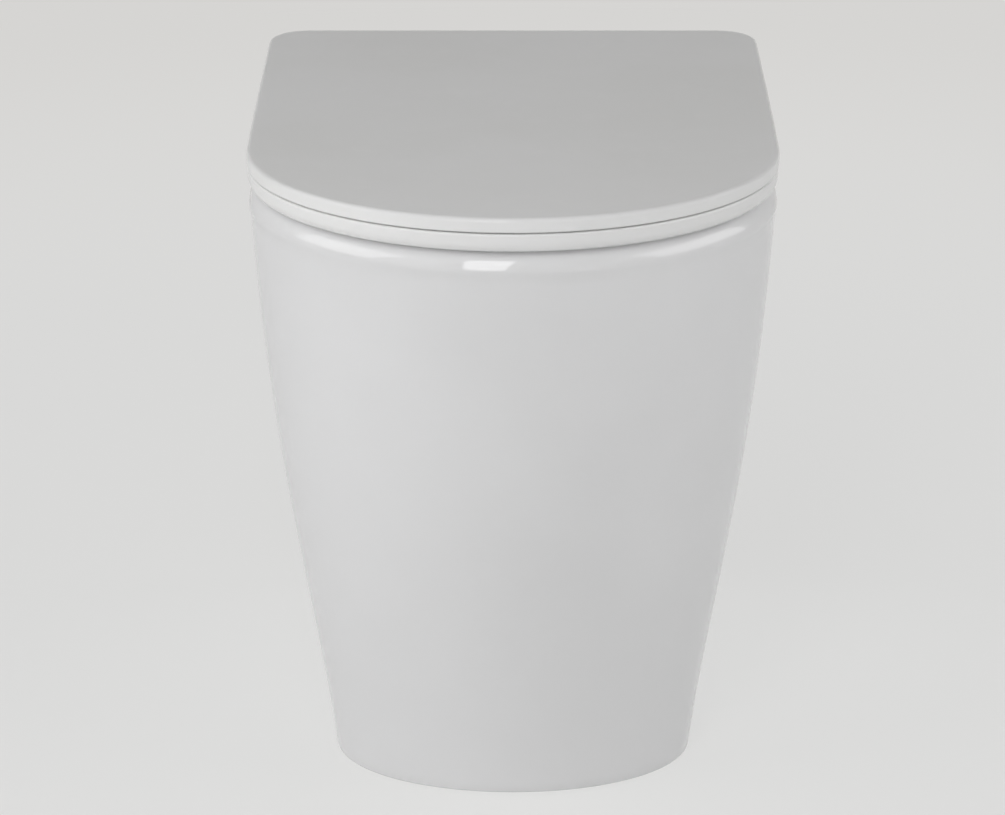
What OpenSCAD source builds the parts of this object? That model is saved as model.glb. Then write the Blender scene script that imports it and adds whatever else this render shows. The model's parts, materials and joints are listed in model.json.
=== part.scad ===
// A back-to-wall toilet: a skirted pan with a slim D-shaped seat and lid on soft-close hinges.
// Millimetres. +Z is up and the front faces -Y.
// The origin is on the floor, in the middle of the width and of the depth.

/* [Pan] */
// From the wall to the lid's front edge
depth = 480; // [470:5:520]
// Height of the rim above the floor
rim_h = 416; // [405:1:440]
// How far the lid's sides overhang the pan's
side_overhang = 1; // [0.5:0.5:3]
// Width of the foot on the floor
foot_w = 247; // [235:1:262]
// Depth of the rim's curved front
rim_nose = 156; // [145:1:165]
// Depth of the foot's curved front
foot_nose = 88; // [80:1:100]
// How far the foot's front stands behind the rim's front
foot_setback = 73; // [60:1:80]
// Width at the wall as a share of the width in front
wall_taper = 0.975; // [0.96:0.005:1]
// How far the lid's front overhangs the rim's front
lid_overhang = 3; // [2:0.5:5]
// Thickness of the skirt's wall
skirt_t = 12; // [10:0.5:14]
// Thickness of the rear deck and the rim
deck_t = 14; // [12:0.5:16]
// Radius of the rim's outer edge
rim_r = 13; // [6:0.5:14]
// Radius of the foot's edge
foot_r = 3; // [2:0.5:5]
// Width of the flange on each side of the open back
back_flange = 16; // [12:1:24]

/* [Bowl] */
// Width of the rim on each side of the bowl's mouth
side_rim = 41; // [38:1:46]
// From the rim's front to the bowl's mouth
front_rim = 41; // [38:1:46]
// From the wall to the bowl's mouth
rear_deck = 120; // [116:1:126]
// Radius of the lip round the mouth
lip_r = 6; // [4:0.5:8]
// Depth of the lip above the flush channel
lip_h = 20; // [18:1:24]
// How far the flush channel is cut back under the lip
channel_d = 6; // [4:0.5:8]
// Height of the flush channel
channel_h = 20; // [16:1:24]
// Thickness of the bowl's wall
bowl_t = 8; // [7:0.5:9]

/* [Trap] */
// Radius of the trap's passage
trap_r = 25; // [24:0.5:26]
// Radius of the bend under the sump, to the passage's centre
bend_r = 36; // [35:0.5:38]
// From the middle of the depth to the sump's axis, towards the front
sump_forward = 30; // [26:1:34]
// Height of the sump's floor
sump_h = 74; // [66:1:80]
// Radius of the bend over the weir, to the passage's centre
crown_r = 38; // [36:0.5:40]
// Slope of the passage that climbs to the weir, in degrees
climb = 60; // [57:1:62]
// Height of the weir that holds the water seal
weir_h = 186; // [182:1:190]

/* [Plumbing] */
// Outer diameter of the outlet spigot
spigot_d = 102; // [98:1:106]
// Wall of the outlet spigot
spigot_t = 9; // [8:0.5:10]
// Height of the outlet's axis
outlet_h = 180; // [176:1:184]
// From the wall to the spigot's end
outlet_back = 45; // [42:1:50]
// Length of the straight spigot
spigot_len = 36; // [32:1:40]
// From the rim down to the flush inlet's axis
inlet_drop = 66; // [64:1:72]
// Bore of the flush inlet
inlet_d = 60; // [56:1:62]
// Wall of the flush inlet
inlet_t = 8; // [7:0.5:10]
// From the wall to the flush inlet's mouth
inlet_back = 42; // [38:1:50]
// Height of the slot that feeds the flush channel
slot_h = 12; // [8:1:14]
// Outer diameter of the flush pipe that the seal takes
flush_pipe_d = 44; // [40:1:46]
// Length of the inlet seal inside the inlet
seal_len = 24; // [18:1:28]

/* [Floor fixing] */
// From the wall to the side fixing holes
side_fixing_back = 70; // [60:1:90]
// Diameter of the side fixing screws
side_screw_d = 6; // [5:0.5:6]
// Diameter of the caps over the side screws
cap_d = 18; // [16:0.5:20]
// Diameter of the anchor hole in each floor bracket
anchor_d = 8; // [6:0.5:9]

/* [Seat] */
// Width of the lid
lid_w = 360; // [354:1:370]
// From the hinge axis to the lid's back edge
lid_set = 8; // [7.5:0.5:12]
// Thickness of the lid
lid_t = 10; // [8:0.5:11]
// Radius of the lid's rear corners
corner_r = 28; // [20:1:34]
// Radius of the lid's upper edge
lid_edge_r = 3; // [2:0.25:4]
// Depth of the shallow recess under the lid
lid_recess = 3; // [2:0.25:4]
// Thickness of the seat ring
ring_t = 13.7; // [12:0.1:14.5]
// Radius of the seat ring's lower outer edge
ring_edge_r = 8; // [6:0.5:9]
// Gap between rim and seat ring
seat_gap = 1.3; // [1:0.1:2]
// Gap between seat ring and lid
lid_gap = 1; // [0.8:0.1:1.5]
// How far the ring's edge stands behind the lid's
ring_inset = 0.7; // [0.4:0.1:1.5]
// Width of the seat ring at its sides
ring_side = 62.3; // [58:0.1:68]
// Width of the seat ring in front of its hole
ring_front = 66; // [60:1:72]
// Width of the seat ring behind its hole
ring_rear = 91.3; // [86:0.1:98]
// From the hinge axis to the seat ring's back edge
ring_set = 24; // [22:1:30]
// Diameter of the seat's buffers
seat_buffer_d = 16; // [12:0.5:18]
// Diameter of the lid's buffers
lid_buffer_d = 12; // [8:0.5:14]

/* [Hinges] */
// Distance between the two fixing holes in the deck
fixing_pitch = 155; // [145:1:165]
// Diameter of the fixing holes in the deck
fixing_hole_d = 15; // [14:0.5:16]
// From the wall to the hinge axis
hinge_back = 34; // [33:0.5:36]
// Height of the hinge axis above the rim
hinge_up = 15; // [14.5:0.1:15.6]
// Diameter of the hinge barrel
barrel_d = 11; // [10.6:0.1:11.4]
// Length of the hinge barrel
barrel_len = 46; // [44:1:50]
// Width of each hinge ear
ear_w = 11; // [9:1:13]
// Diameter of the hinge ears' round ends
ear_d = 12; // [11:0.2:12.6]
// Diameter of the hinge shafts
shaft_d = 5; // [4.5:0.1:5.2]
// Diameter of the damper cartridges
damper_d = 8.2; // [8:0.1:8.4]
// Radial clearance of a shaft in its bearing
running_clearance = 0.05; // [0.02:0.01:0.08]
// Clearance between pieces that move past each other
side_clearance = 0.3; // [0.25:0.05:0.4]
// Diameter of the round foot under each hinge
base_d = 38; // [34:1:42]
// Thickness of the round foot under each hinge
base_t = 2; // [1.6:0.1:2.4]
// Diameter of the fixing studs
stud_d = 8; // [6:0.5:8]
// Diameter of the release buttons
button_d = 5; // [4.4:0.1:5.2]
// Travel of the release buttons
button_travel = 1.5; // [1:0.1:1.6]

/* [Hidden] */
$fn = 64;
front_y = -depth/2;
wall_y = depth/2;
rim_front_y = front_y + lid_overhang;
pan_w = lid_w - 2*side_overhang;
bowl_w = pan_w - 2*side_rim;
inlet_h = rim_h - inlet_drop;

// Handles of the side profile from foot to rim, as shares of the swell and of the height
swell_handles = [0, 0.235, 0.78, 1];
height_handles = [0, 0.27, 0.5, 1];
profile_steps = 11;

// Points round a ring: the curved front, the sides, the rear corners and the back
front_steps = 34;
side_steps = 2;
corner_steps = 3;
back_steps = 6;
ring_points = front_steps + 1 + 2*side_steps + 2*(corner_steps + 1) + back_steps - 1;
rear_points = ring_points - front_steps;
edge_steps = 5;
wall_corner_r = 4;

function bezier(t, p) = pow(1 - t, 3)*p[0] + 3*pow(1 - t, 2)*t*p[1] + 3*(1 - t)*t*t*p[2] + pow(t, 3)*p[3];
function mix(a, b, t) = a + (b - a)*t;
function unit(v) = v/norm(v);
function at_height(points, z) = [for (p = points) [p[0], p[1], z]];

// A point of an ellipse, moved inwards square to the curve
function ellipse_point(a, b, angle, inset) =
    [a*cos(angle), b*sin(angle)] - inset*unit([cos(angle)/a, sin(angle)/b]);

// Seen from above, starting at the left: a half ellipse in front, straight sides, two round rear corners
function d_outline(half, front, nose, back, back_half, corner, inset = 0) =
    let (shoulder = front + nose,
         reach = back_half - inset,
         rear = back - inset)
    concat(
        [for (i = [0:front_steps]) ellipse_point(half, nose, 180 + 180*i/front_steps, inset) + [0, shoulder]],
        [for (i = [1:side_steps]) let (t = i/(side_steps + 1))
            [mix(half - inset, reach, t), mix(shoulder, rear - corner, t)]],
        [for (i = [0:corner_steps]) let (a = 90*i/corner_steps)
            [reach - corner + corner*cos(a), rear - corner + corner*sin(a)]],
        [for (i = [1:back_steps - 1]) [(reach - corner)*(1 - 2*i/back_steps), rear]],
        [for (i = [0:corner_steps]) let (a = 90 + 90*i/corner_steps)
            [corner - reach + corner*cos(a), rear - corner + corner*sin(a)]],
        [for (i = [1:side_steps]) let (t = 1 - i/(side_steps + 1))
            [-mix(half - inset, reach, t), mix(shoulder, rear - corner, t)]]);

// The same number of points round two half ellipses that share a width
function oval(half, centre, front, rear) = concat(
    [for (i = [0:front_steps]) let (a = 180 + 180*i/front_steps) [half*cos(a), centre + front*sin(a)]],
    [for (i = [1:rear_points - 1]) let (a = 180*i/rear_points) [half*cos(a), centre + rear*sin(a)]]);

// A closed skin through rings that have the same number of points, with flat ends or joined end to start.
// A flat end fans out from the middle of its curved front.
module loft(rings, closed = false) {
    n = len(rings[0]);
    last = len(rings) - 1;
    tip = front_steps/2;
    polyhedron(
        points = [for (ring = rings) each ring],
        faces = concat(
            closed ? [] : [
                [for (j = [0:n - 1]) (j + tip) % n],
                [for (j = [n:-1:1]) last*n + (j + tip) % n]],
            [for (i = [0:closed ? last : last - 1]) for (j = [0:n - 1])
                let (k = (j + 1) % n, a = i*n, b = ((i + 1) % (last + 1))*n)
                each [[a + j, b + j, b + k], [a + j, b + k, a + k]]]),
        convexity = 10);
}

module along_y(y, z, x = 0) {
    translate([x, y, z]) rotate([-90, 0, 0]) children();
}

module along_x(x, y, z) {
    translate([x, y, z]) rotate([0, 90, 0]) children();
}

// Pan

// Half the pan's width in front and its height, at a share t of the way up the side profile
function side_half(t) = mix(foot_w/2, pan_w/2, bezier(t, swell_handles));
function side_z(t) = rim_h*bezier(t, height_handles);

// The pan's outline there, drawn in by an inset and moved up by a lift
function pan_ring(t, inset, lift = 0) =
    let (s = bezier(t, swell_handles),
         nose = mix(foot_nose, rim_nose, s),
         front = rim_front_y + foot_setback*(1 - s),
         corner = wall_corner_r + inset/4)
    at_height(
        d_outline(side_half(t), front, nose, wall_y, side_half(t)*wall_taper, corner, inset),
        side_z(t) + lift);

// The bowl's mouth
mouth_front_y = rim_front_y + front_rim;
mouth_rear_y = wall_y - rear_deck;
mouth_y = (mouth_front_y + mouth_rear_y)/2;
mouth_reach = (mouth_rear_y - mouth_front_y)/2;
channel_z = rim_h - lip_h - channel_h;
ledge_d = 6;
ledge_drop = 12;
ledge_z = channel_z - ledge_drop;
function mouth(grow, z) =
    at_height(oval(bowl_w/2 + grow, mouth_y, mouth_reach + grow, mouth_reach + grow), z);

// The bowl narrows from its ledge at t = 1 to the sump at t = 0. Its throat is the handle near the sump
// and its belly the handle near the ledge, drawn in from the mouth at the sides, in front and behind.
sump_y = -sump_forward;
bend_y = sump_y + bend_r;
bend_z = sump_h + trap_r + bend_r;
throat_rise = 40;
throat_swell = 12;
throat_front = 2;
belly_drop = 104;
belly_side = 40;
belly_front = 30;
belly_rear = 45;
funnel_steps = 8;
function funnel(t, grow) =
    let (low_front = sump_y - trap_r,
         low_rear = sump_y + trap_r,
         high_front = mouth_front_y + ledge_d,
         half = bezier(t, [trap_r, trap_r + throat_swell, bowl_w/2 - belly_side, bowl_w/2 - ledge_d]),
         front = bezier(t, [low_front, low_front - throat_front, mouth_front_y + belly_front, high_front]),
         rear = bezier(t, [low_rear, low_rear, mouth_rear_y - belly_rear, mouth_rear_y - ledge_d]),
         centre = mix(sump_y, mouth_y, t),
         z = bezier(t, [bend_z, bend_z + throat_rise, ledge_z - belly_drop, ledge_z]))
    at_height(oval(half + grow, centre, centre - front + grow, rear - centre + grow), z);

// The trap's passage: round the bend, up the climb, over the weir and down to the spigot
spigot_y = wall_y - outlet_back - spigot_len;
climb_start = [bend_y + bend_r*sin(climb), bend_z - bend_r*cos(climb)];
crown_z = weir_h + trap_r;
climb_len = (crown_z - crown_r*(1 - cos(climb)) - climb_start[1])/sin(climb);
crown_y = climb_start[0] + climb_len*cos(climb) + crown_r*sin(climb);
bend_steps = 7;
crown_steps = 4;
fall_steps = 4;
outlet_r = spigot_d/2 - spigot_t;
step_r = 2;
collar = 3;
passage_t = bowl_t - 1;

// Centre [y, z], direction and radius at each stop along the passage
passage = concat(
    [for (i = [1:bend_steps]) let (a = mix(-90, climb, i/bend_steps))
        [[bend_y + bend_r*sin(a), bend_z - bend_r*cos(a)], [cos(a), sin(a)], trap_r]],
    [for (i = [0:crown_steps]) let (a = climb*(1 - i/crown_steps))
        [[crown_y - crown_r*sin(a), crown_z - crown_r*(1 - cos(a))], [cos(a), sin(a)], trap_r]],
    [for (i = [1:fall_steps])
        let (t = i/fall_steps, s = (1 - cos(180*t))/2, r = mix(trap_r, outlet_r - step_r, s))
        [[mix(crown_y, spigot_y + 1, t), mix(crown_z, outlet_h, s)], [1, 0], r]]);

function passage_ring(stop, grow) =
    let (centre = stop[0], d = stop[1], r = stop[2] + grow)
    [for (p = oval(r, 0, r, r)) [p[0], centre[0] - d[1]*p[1], centre[1] + d[0]*p[1]]];

// One skin, from the end of the trap up the outside of the bowl, down inside the skirt, up its outside,
// over the rim, down the bowl and back through the trap
module pan_skin() {
    stops = len(passage) - 1;
    deck_z = rim_h - deck_t;
    flare = channel_d + bowl_t;
    flare_drop = 6;
    lip_under_z = rim_h - lip_h + 3;
    lip_throat_z = rim_h - lip_h - 4;
    skirt_steps = 7;
    rings = concat(
        [for (i = [stops:-1:0]) passage_ring(passage[i], passage_t)],
        [for (i = [0:funnel_steps]) funnel(i/funnel_steps, mix(passage_t, bowl_t, i/funnel_steps))],
        [mouth(flare, channel_z - flare_drop), mouth(flare, deck_z)],
        [for (i = [skirt_steps:-1:0]) let (t = i/skirt_steps) pan_ring(t, skirt_t, -deck_t*t)],
        [for (i = [0:2]) let (a = 45*i) pan_ring(0, foot_r*(1 - sin(a)), foot_r*(1 - cos(a)))],
        [for (i = [1:profile_steps - 1]) pan_ring(i/profile_steps, 0)],
        [for (i = [0:edge_steps]) let (a = 90*i/edge_steps)
            pan_ring(1, rim_r*(1 - cos(a)), rim_r*(sin(a) - 1))],
        [for (i = [edge_steps:-1:0]) let (a = 90*i/edge_steps)
            mouth(lip_r*(1 - cos(a)), rim_h - lip_r*(1 - sin(a)))],
        [mouth(0, lip_under_z), mouth(channel_d, lip_throat_z), mouth(channel_d, channel_z)],
        [for (i = [funnel_steps:-1:0]) funnel(i/funnel_steps, 0)],
        [for (i = [0:stops]) passage_ring(passage[i], 0)]);
    loft(rings, closed = true);
}

// The opening in the back, which leaves a flange down each side
module back_opening() {
    inset = skirt_t + back_flange;
    waist_t = 0.6;
    low = foot_w/2*wall_taper - inset;
    high = pan_w/2*wall_taper - inset;
    shoulder = rim_h/2;
    middle = side_half(waist_t)*wall_taper - inset;
    translate([0, wall_y + 1, 0]) rotate([90, 0, 0]) linear_extrude(skirt_t + 2)
        polygon([[-low, -1], [low, -1], [middle, shoulder], [high, rim_h - 2*deck_t],
                 [-high, rim_h - 2*deck_t], [-middle, shoulder]]);
}

// The flush inlet: a horn behind the bowl, a chamber over it and a slot into the flush channel
chamber_w = 56;
chamber_d = 7;
chamber_t = 8;
chamber_lap = 6;
chamber_y = mouth_rear_y + channel_d + bowl_t + 2;
horn_root = 60;
slot_drop = 6;
slot_z = rim_h - lip_h - slot_drop - slot_h;
slot_side = 2;
slot_roof = 4;

// What the horn is trimmed by: the inside of the bowl, drawn in a little
module bowl_inside(inset) {
    inner = [for (i = [1:funnel_steps]) funnel(i/funnel_steps, -inset)];
    loft(concat(inner, [mouth(channel_d - inset, channel_z), mouth(channel_d - inset, rim_h - lip_h)]));
}

module flush_horn() {
    horn_start = mouth_rear_y - horn_root;
    trim = 0.6;
    difference() {
        along_y(horn_start, inlet_h) cylinder(d = inlet_d + 2*inlet_t, h = wall_y - inlet_back - horn_start);
        bowl_inside(trim);
    }
    translate([-chamber_w/2 - chamber_t, chamber_y - chamber_lap, inlet_h])
        cube([chamber_w + 2*chamber_t, chamber_d + chamber_lap + chamber_t, rim_h - deck_t/2 - inlet_h]);
}

module flush_passages() {
    slot_start = mouth_rear_y - chamber_lap;
    along_y(chamber_y, inlet_h) cylinder(d = inlet_d, h = depth);
    translate([-chamber_w/2, chamber_y, inlet_h])
        cube([chamber_w, chamber_d, slot_z + slot_h + slot_roof - inlet_h]);
    translate([-chamber_w/2 + slot_side, slot_start, slot_z])
        cube([chamber_w - 2*slot_side, chamber_y + slot_side - slot_start, slot_h]);
}

// The side fixings, at a share of the way up the side profile
fixing_y = wall_y - hinge_back;
side_fixing_y = wall_y - side_fixing_back;
side_fixing_t = 0.19;
side_fixing_z = side_z(side_fixing_t);
straight_len = wall_y - rim_front_y - foot_setback - foot_nose;
side_taper = mix(1, wall_taper, 1 - side_fixing_back/straight_len);
side_x = side_half(side_fixing_t)*side_taper;
cap_seat = 4;
cap_seat_x = side_x - cap_seat;
screw_clearance = 0.5;

module pan() {
    color("white") difference() {
        union() {
            pan_skin();
            along_y(spigot_y - collar, outlet_h) cylinder(d = spigot_d, h = spigot_len + collar);
            flush_horn();
        }
        back_opening();
        along_y(spigot_y - collar - 1, outlet_h) cylinder(r = outlet_r, h = spigot_len + collar + 2);
        flush_passages();
        for (side = [-1, 1]) {
            translate([side*fixing_pitch/2, fixing_y, rim_h - deck_t - 1])
                cylinder(d = fixing_hole_d, h = deck_t + 2);
            along_x(side*side_x, side_fixing_y, side_fixing_z)
                cylinder(d = side_screw_d + 2*screw_clearance, h = 4*skirt_t, center = true);
            along_x(side*(cap_seat_x + skirt_t), side_fixing_y, side_fixing_z)
                cylinder(d = cap_d + 2*side_clearance, h = 2*skirt_t, center = true);
        }
    }
}

module inlet_seal() {
    lip = 4;
    lip_t = 3;
    grooves = 3;
    groove = 2;
    outer = inlet_d/2 - running_clearance;
    inner = flush_pipe_d/2 + running_clearance;
    pitch = seal_len/(grooves + 0.5);
    color("dimgray") along_y(wall_y - inlet_back - seal_len, inlet_h) rotate_extrude() difference() {
        union() {
            translate([inner, 0]) square([outer - inner, seal_len]);
            translate([inner, seal_len]) square([inlet_d/2 + lip - inner, lip_t]);
        }
        for (i = [0:grooves - 1]) translate([outer - groove, pitch*(i + 0.5)]) square([groove + 1, pitch/2]);
    }
}

// Floor fixing: a bracket inside the skirt on each side, a screw through the skirt and a cap over it
bracket_w = 30;
bracket_t = 5;
bracket_foot = 42;
bracket_web = 8;
bracket_root = 8;
bracket_clearance = 0.8;
bracket_above = 12;
bracket_h = side_fixing_z + bracket_above;
bracket_low_x = foot_w/2*side_taper - skirt_t - bracket_clearance;
bracket_lean = (side_x - foot_w/2*side_taper)/side_fixing_z;
anchor_edge = 12;
anchor_x = bracket_low_x - bracket_foot + anchor_edge;
screw_head_d = 12;
screw_head_t = 3;
screw_len = 28;

module floor_bracket() {
    high_x = bracket_low_x + bracket_lean*bracket_h;
    web_x = bracket_low_x - bracket_web;
    color("gainsboro") difference() {
        translate([0, side_fixing_y + bracket_w/2, 0]) rotate([90, 0, 0]) linear_extrude(bracket_w) polygon([
            [bracket_low_x - bracket_foot, 0], [bracket_low_x, 0], [high_x, bracket_h],
            [high_x - bracket_web, bracket_h], [web_x, bracket_t + bracket_root],
            [web_x - bracket_root, bracket_t], [bracket_low_x - bracket_foot, bracket_t]]);
        translate([anchor_x, side_fixing_y, -1]) cylinder(d = anchor_d, h = bracket_t + 2);
        along_x(side_x - 3*skirt_t, side_fixing_y, side_fixing_z)
            cylinder(d = side_screw_d + 2*running_clearance, h = 3*skirt_t);
    }
}

module floor_bracket_left() {
    mirror([1, 0, 0]) floor_bracket();
}

module floor_bracket_right() {
    floor_bracket();
}

module side_screws() {
    socket_d = 4;
    color("silver") for (side = [0, 1]) mirror([side, 0, 0]) difference() {
        union() {
            along_x(cap_seat_x - screw_len, side_fixing_y, side_fixing_z)
                cylinder(d = side_screw_d, h = screw_len + 1);
            along_x(cap_seat_x, side_fixing_y, side_fixing_z) cylinder(d = screw_head_d, h = screw_head_t);
        }
        along_x(cap_seat_x + 1, side_fixing_y, side_fixing_z)
            cylinder(d = socket_d, h = screw_head_t, $fn = 6);
    }
}

module side_cap() {
    inner_r = screw_head_d/2 + 1;
    inner_h = screw_head_t + 0.4;
    rim_height = cap_seat + 0.4;
    dome = 1.2;
    color("white") along_x(cap_seat_x, side_fixing_y, side_fixing_z) rotate_extrude() polygon(concat(
        [[inner_r, 0], [cap_d/2, 0]],
        [for (i = [0:6]) let (a = 15*i) [cap_d/2*cos(a), rim_height + dome*sin(a)]],
        [[0, inner_h], [inner_r, inner_h]]));
}

module side_cap_left() {
    mirror([1, 0, 0]) side_cap();
}

module side_cap_right() {
    side_cap();
}

// Deck fixing: studs in expanding sleeves, pulled up by nuts
sleeve_len = 34;
washer_t = 1.6;
nut_t = 6.5;
stud_tail = 4;
stud_below = sleeve_len + washer_t + nut_t + stud_tail;
stud_neck = 3;
stud_head_t = 3.5;
stud_head_w = 0.9;
stud_head_r = stud_d/2 + stud_head_w;

module at_fixings() {
    for (side = [-1, 1]) translate([side*fixing_pitch/2, fixing_y, rim_h]) children();
}

module fixing_studs() {
    color("silver") at_fixings() {
        translate([0, 0, -stud_below]) cylinder(d = stud_d, h = stud_below + stud_neck + 1);
        translate([0, 0, stud_neck]) cylinder(r = stud_head_r, h = stud_head_t);
    }
}

module expansion_sleeves() {
    color("dimgray") at_fixings() translate([0, 0, -sleeve_len]) difference() {
        cylinder(d = fixing_hole_d - 2*running_clearance, h = sleeve_len);
        translate([0, 0, -1]) cylinder(d = stud_d + 2*running_clearance, h = sleeve_len + 2);
    }
}

module fixing_washers() {
    color("silver") at_fixings() translate([0, 0, -sleeve_len - washer_t]) difference() {
        cylinder(d = fixing_hole_d - 1, h = washer_t);
        translate([0, 0, -1]) cylinder(d = stud_d + 2*running_clearance, h = washer_t + 2);
    }
}

module fixing_nuts() {
    color("silver") at_fixings() translate([0, 0, -sleeve_len - washer_t - nut_t]) difference() {
        cylinder(d = fixing_hole_d - 0.4, h = nut_t, $fn = 6);
        translate([0, 0, -1]) cylinder(d = stud_d + 2*running_clearance, h = nut_t + 2);
    }
}

// Hinges: a foot and hub on the deck, a barrel across it, and a shaft or a pin at each end of the barrel
axis_z = rim_h + hinge_up;
hub_r = 7.2;
core_len = 12;
barrel_bore = damper_d + 2*running_clearance;
ear_x = barrel_len/2 + side_clearance;
ear_end = ear_x + ear_w;

module at_axis(side) {
    along_x(side*fixing_pitch/2, fixing_y, axis_z) children();
}

module hinge_base(side) {
    fillet = 3.5;
    edge = 1;
    hub_h = hinge_up - 1.5;
    color("silver") difference() {
        translate([side*fixing_pitch/2, fixing_y, rim_h]) difference() {
            rotate_extrude() polygon(concat(
                [[0, 0], [base_d/2, 0]],
                [for (i = [0:4]) let (a = 22.5*i)
                    [base_d/2 - edge*(1 - cos(a)), base_t - edge*(1 - sin(a))]],
                [for (i = [0:6]) let (a = 15*i)
                    [hub_r + fillet*(1 - sin(a)), base_t + fillet*(1 - cos(a))]],
                [[hub_r, hub_h], [0, hub_h]]));
            translate([0, 0, -1]) cylinder(r = stud_head_r + 0.5, h = stud_neck + stud_head_t + 2);
        }
        at_axis(side) cylinder(d = barrel_d + 2*running_clearance, h = barrel_len, center = true);
    }
}

module hinge_base_left() {
    hinge_base(-1);
}

module hinge_base_right() {
    hinge_base(1);
}

module hinge_barrel(side) {
    chamfer = 0.6;
    half = barrel_len/2;
    color("silver") difference() {
        at_axis(side) rotate_extrude() polygon([
            [0, -half], [barrel_d/2 - chamfer, -half], [barrel_d/2, chamfer - half],
            [barrel_d/2, half - chamfer], [barrel_d/2 - chamfer, half], [0, half]]);
        at_axis(side) translate([0, 0, -half - 1]) cylinder(d = barrel_bore, h = half + core_len/2 + 1);
        at_axis(side) cylinder(d = shaft_d + 2*running_clearance, h = half + 1);
        translate([side*fixing_pitch/2, fixing_y, axis_z])
            cylinder(d = button_d + 2*side_clearance, h = barrel_d);
    }
}

module hinge_barrel_left() {
    hinge_barrel(-1);
}

module hinge_barrel_right() {
    hinge_barrel(1);
}

module hinge_pins() {
    color("silver") for (side = [-1, 1]) at_axis(side)
        translate([0, 0, core_len/2]) cylinder(d = shaft_d, h = ear_end - core_len/2);
}

damper_seat = core_len/2;
damper_out = barrel_len/2 - side_clearance;
module damper(side) {
    length = damper_out - damper_seat;
    color("dimgray") at_axis(side) translate([0, 0, -damper_out]) difference() {
        cylinder(d = damper_d, h = length);
        translate([0, 0, -1]) cylinder(d = shaft_d + 2*running_clearance, h = length - 2);
    }
}

// The stretch in the ear is flat on one side, so that the ear turns the shaft
flat = shaft_d*0.36;
module flat_shaft(grow, low, high) {
    r = shaft_d/2 + grow;
    intersection() {
        translate([0, 0, low]) cylinder(r = r, h = high - low);
        translate([-r - 1, -r - 1, low - 1]) cube([r + 1 + flat + grow, 2*r + 2, high - low + 2]);
    }
}

module damper_shaft(side) {
    color("silver") at_axis(side) union() {
        translate([0, 0, -ear_x]) cylinder(d = shaft_d, h = ear_x - damper_seat - 4);
        flat_shaft(0, -ear_end, -ear_x + 0.5);
    }
}

module lid_damper() {
    damper(-1);
}

module lid_damper_shaft() {
    damper_shaft(-1);
}

module seat_damper() {
    damper(1);
}

module seat_damper_shaft() {
    damper_shaft(1);
}

// The button's flange is held under its hole, with room for the travel below it in the barrel's bore
module release_button(side) {
    flange_w = 0.7;
    flange_t = 1;
    proud = 0.9;
    flange_r = button_d/2 + flange_w;
    flange_low = button_travel + side_clearance - sqrt(pow(barrel_bore/2, 2) - pow(flange_r, 2));
    flange_top = flange_low + flange_t;
    top = barrel_d/2 + proud;
    dome = 0.5;
    color("silver") translate([side*fixing_pitch/2, fixing_y, axis_z]) rotate_extrude() polygon(concat(
        [[0, flange_low], [flange_r, flange_low], [flange_r, flange_top], [button_d/2, flange_top]],
        [for (i = [0:5]) let (a = 18*i) [button_d/2*cos(a), top - dome + dome*sin(a)]]));
}

module release_button_left() {
    release_button(-1);
}

module release_button_right() {
    release_button(1);
}

// Seat and lid
ring_z = rim_h + seat_gap;
lid_z = ring_z + ring_t + lid_gap;
lid_back_y = fixing_y - lid_set;
ring_back_y = fixing_y - ring_set;
ring_w = lid_w - 2*ring_inset;
hole_w = ring_w - 2*ring_side;
hole_front_y = front_y + ring_inset + ring_front;
hole_back_y = ring_back_y - ring_rear;
hole_y = (hole_front_y + hole_back_y)/2;
hole_reach = (hole_back_y - hole_front_y)/2;
side_buffer_x = (ring_w - ring_side)/2;
buffer_clearance = 0.3;
buffer_seat = 3;
lid_buffer_seat = 2;
seat_buffer_forward = 30;
lid_buffer_forward = 60;

// How far the ears' arms lie inside the faces of the seat ring and the lid
arm_drop = 0.4;

function slab(width, front, nose, back, inset) =
    d_outline(width/2, front, nose, back, width/2*wall_taper, corner_r - inset, inset);
function lid_ring(inset, z) = at_height(slab(lid_w, front_y, rim_nose, lid_back_y, inset), lid_z + z);
function seat_outer(inset, z) =
    at_height(slab(ring_w, front_y + ring_inset, rim_nose - ring_inset, ring_back_y, inset), ring_z + z);
function seat_inner(grow, z) =
    at_height(oval(hole_w/2 + grow, hole_y, hole_reach + grow, hole_reach + grow), ring_z + z);

// An ear from a round end on the hinge axis to the piece it carries, as a side outline given from the axis
module ear(side, outer, outline) {
    start = outer ? ear_x : -ear_end;
    translate([side*fixing_pitch/2 + (side > 0 ? start : -start - ear_w), fixing_y, axis_z]) {
        rotate([0, 90, 0]) cylinder(d = ear_d, h = ear_w);
        rotate([90, 0, 90]) linear_extrude(ear_w) polygon(outline);
    }
}

// The hole in an ear: round on a pin, flat on one side on a damper's shaft
module ear_bore(side, outer) {
    on_damper = (side < 0) == outer;
    at_axis(side) if (on_damper) flat_shaft(running_clearance, -ear_end - 1, -ear_x + 0.1);
    else translate([0, 0, ear_x - 0.1]) cylinder(d = shaft_d + 2*running_clearance, h = ear_w + 1);
}

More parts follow.
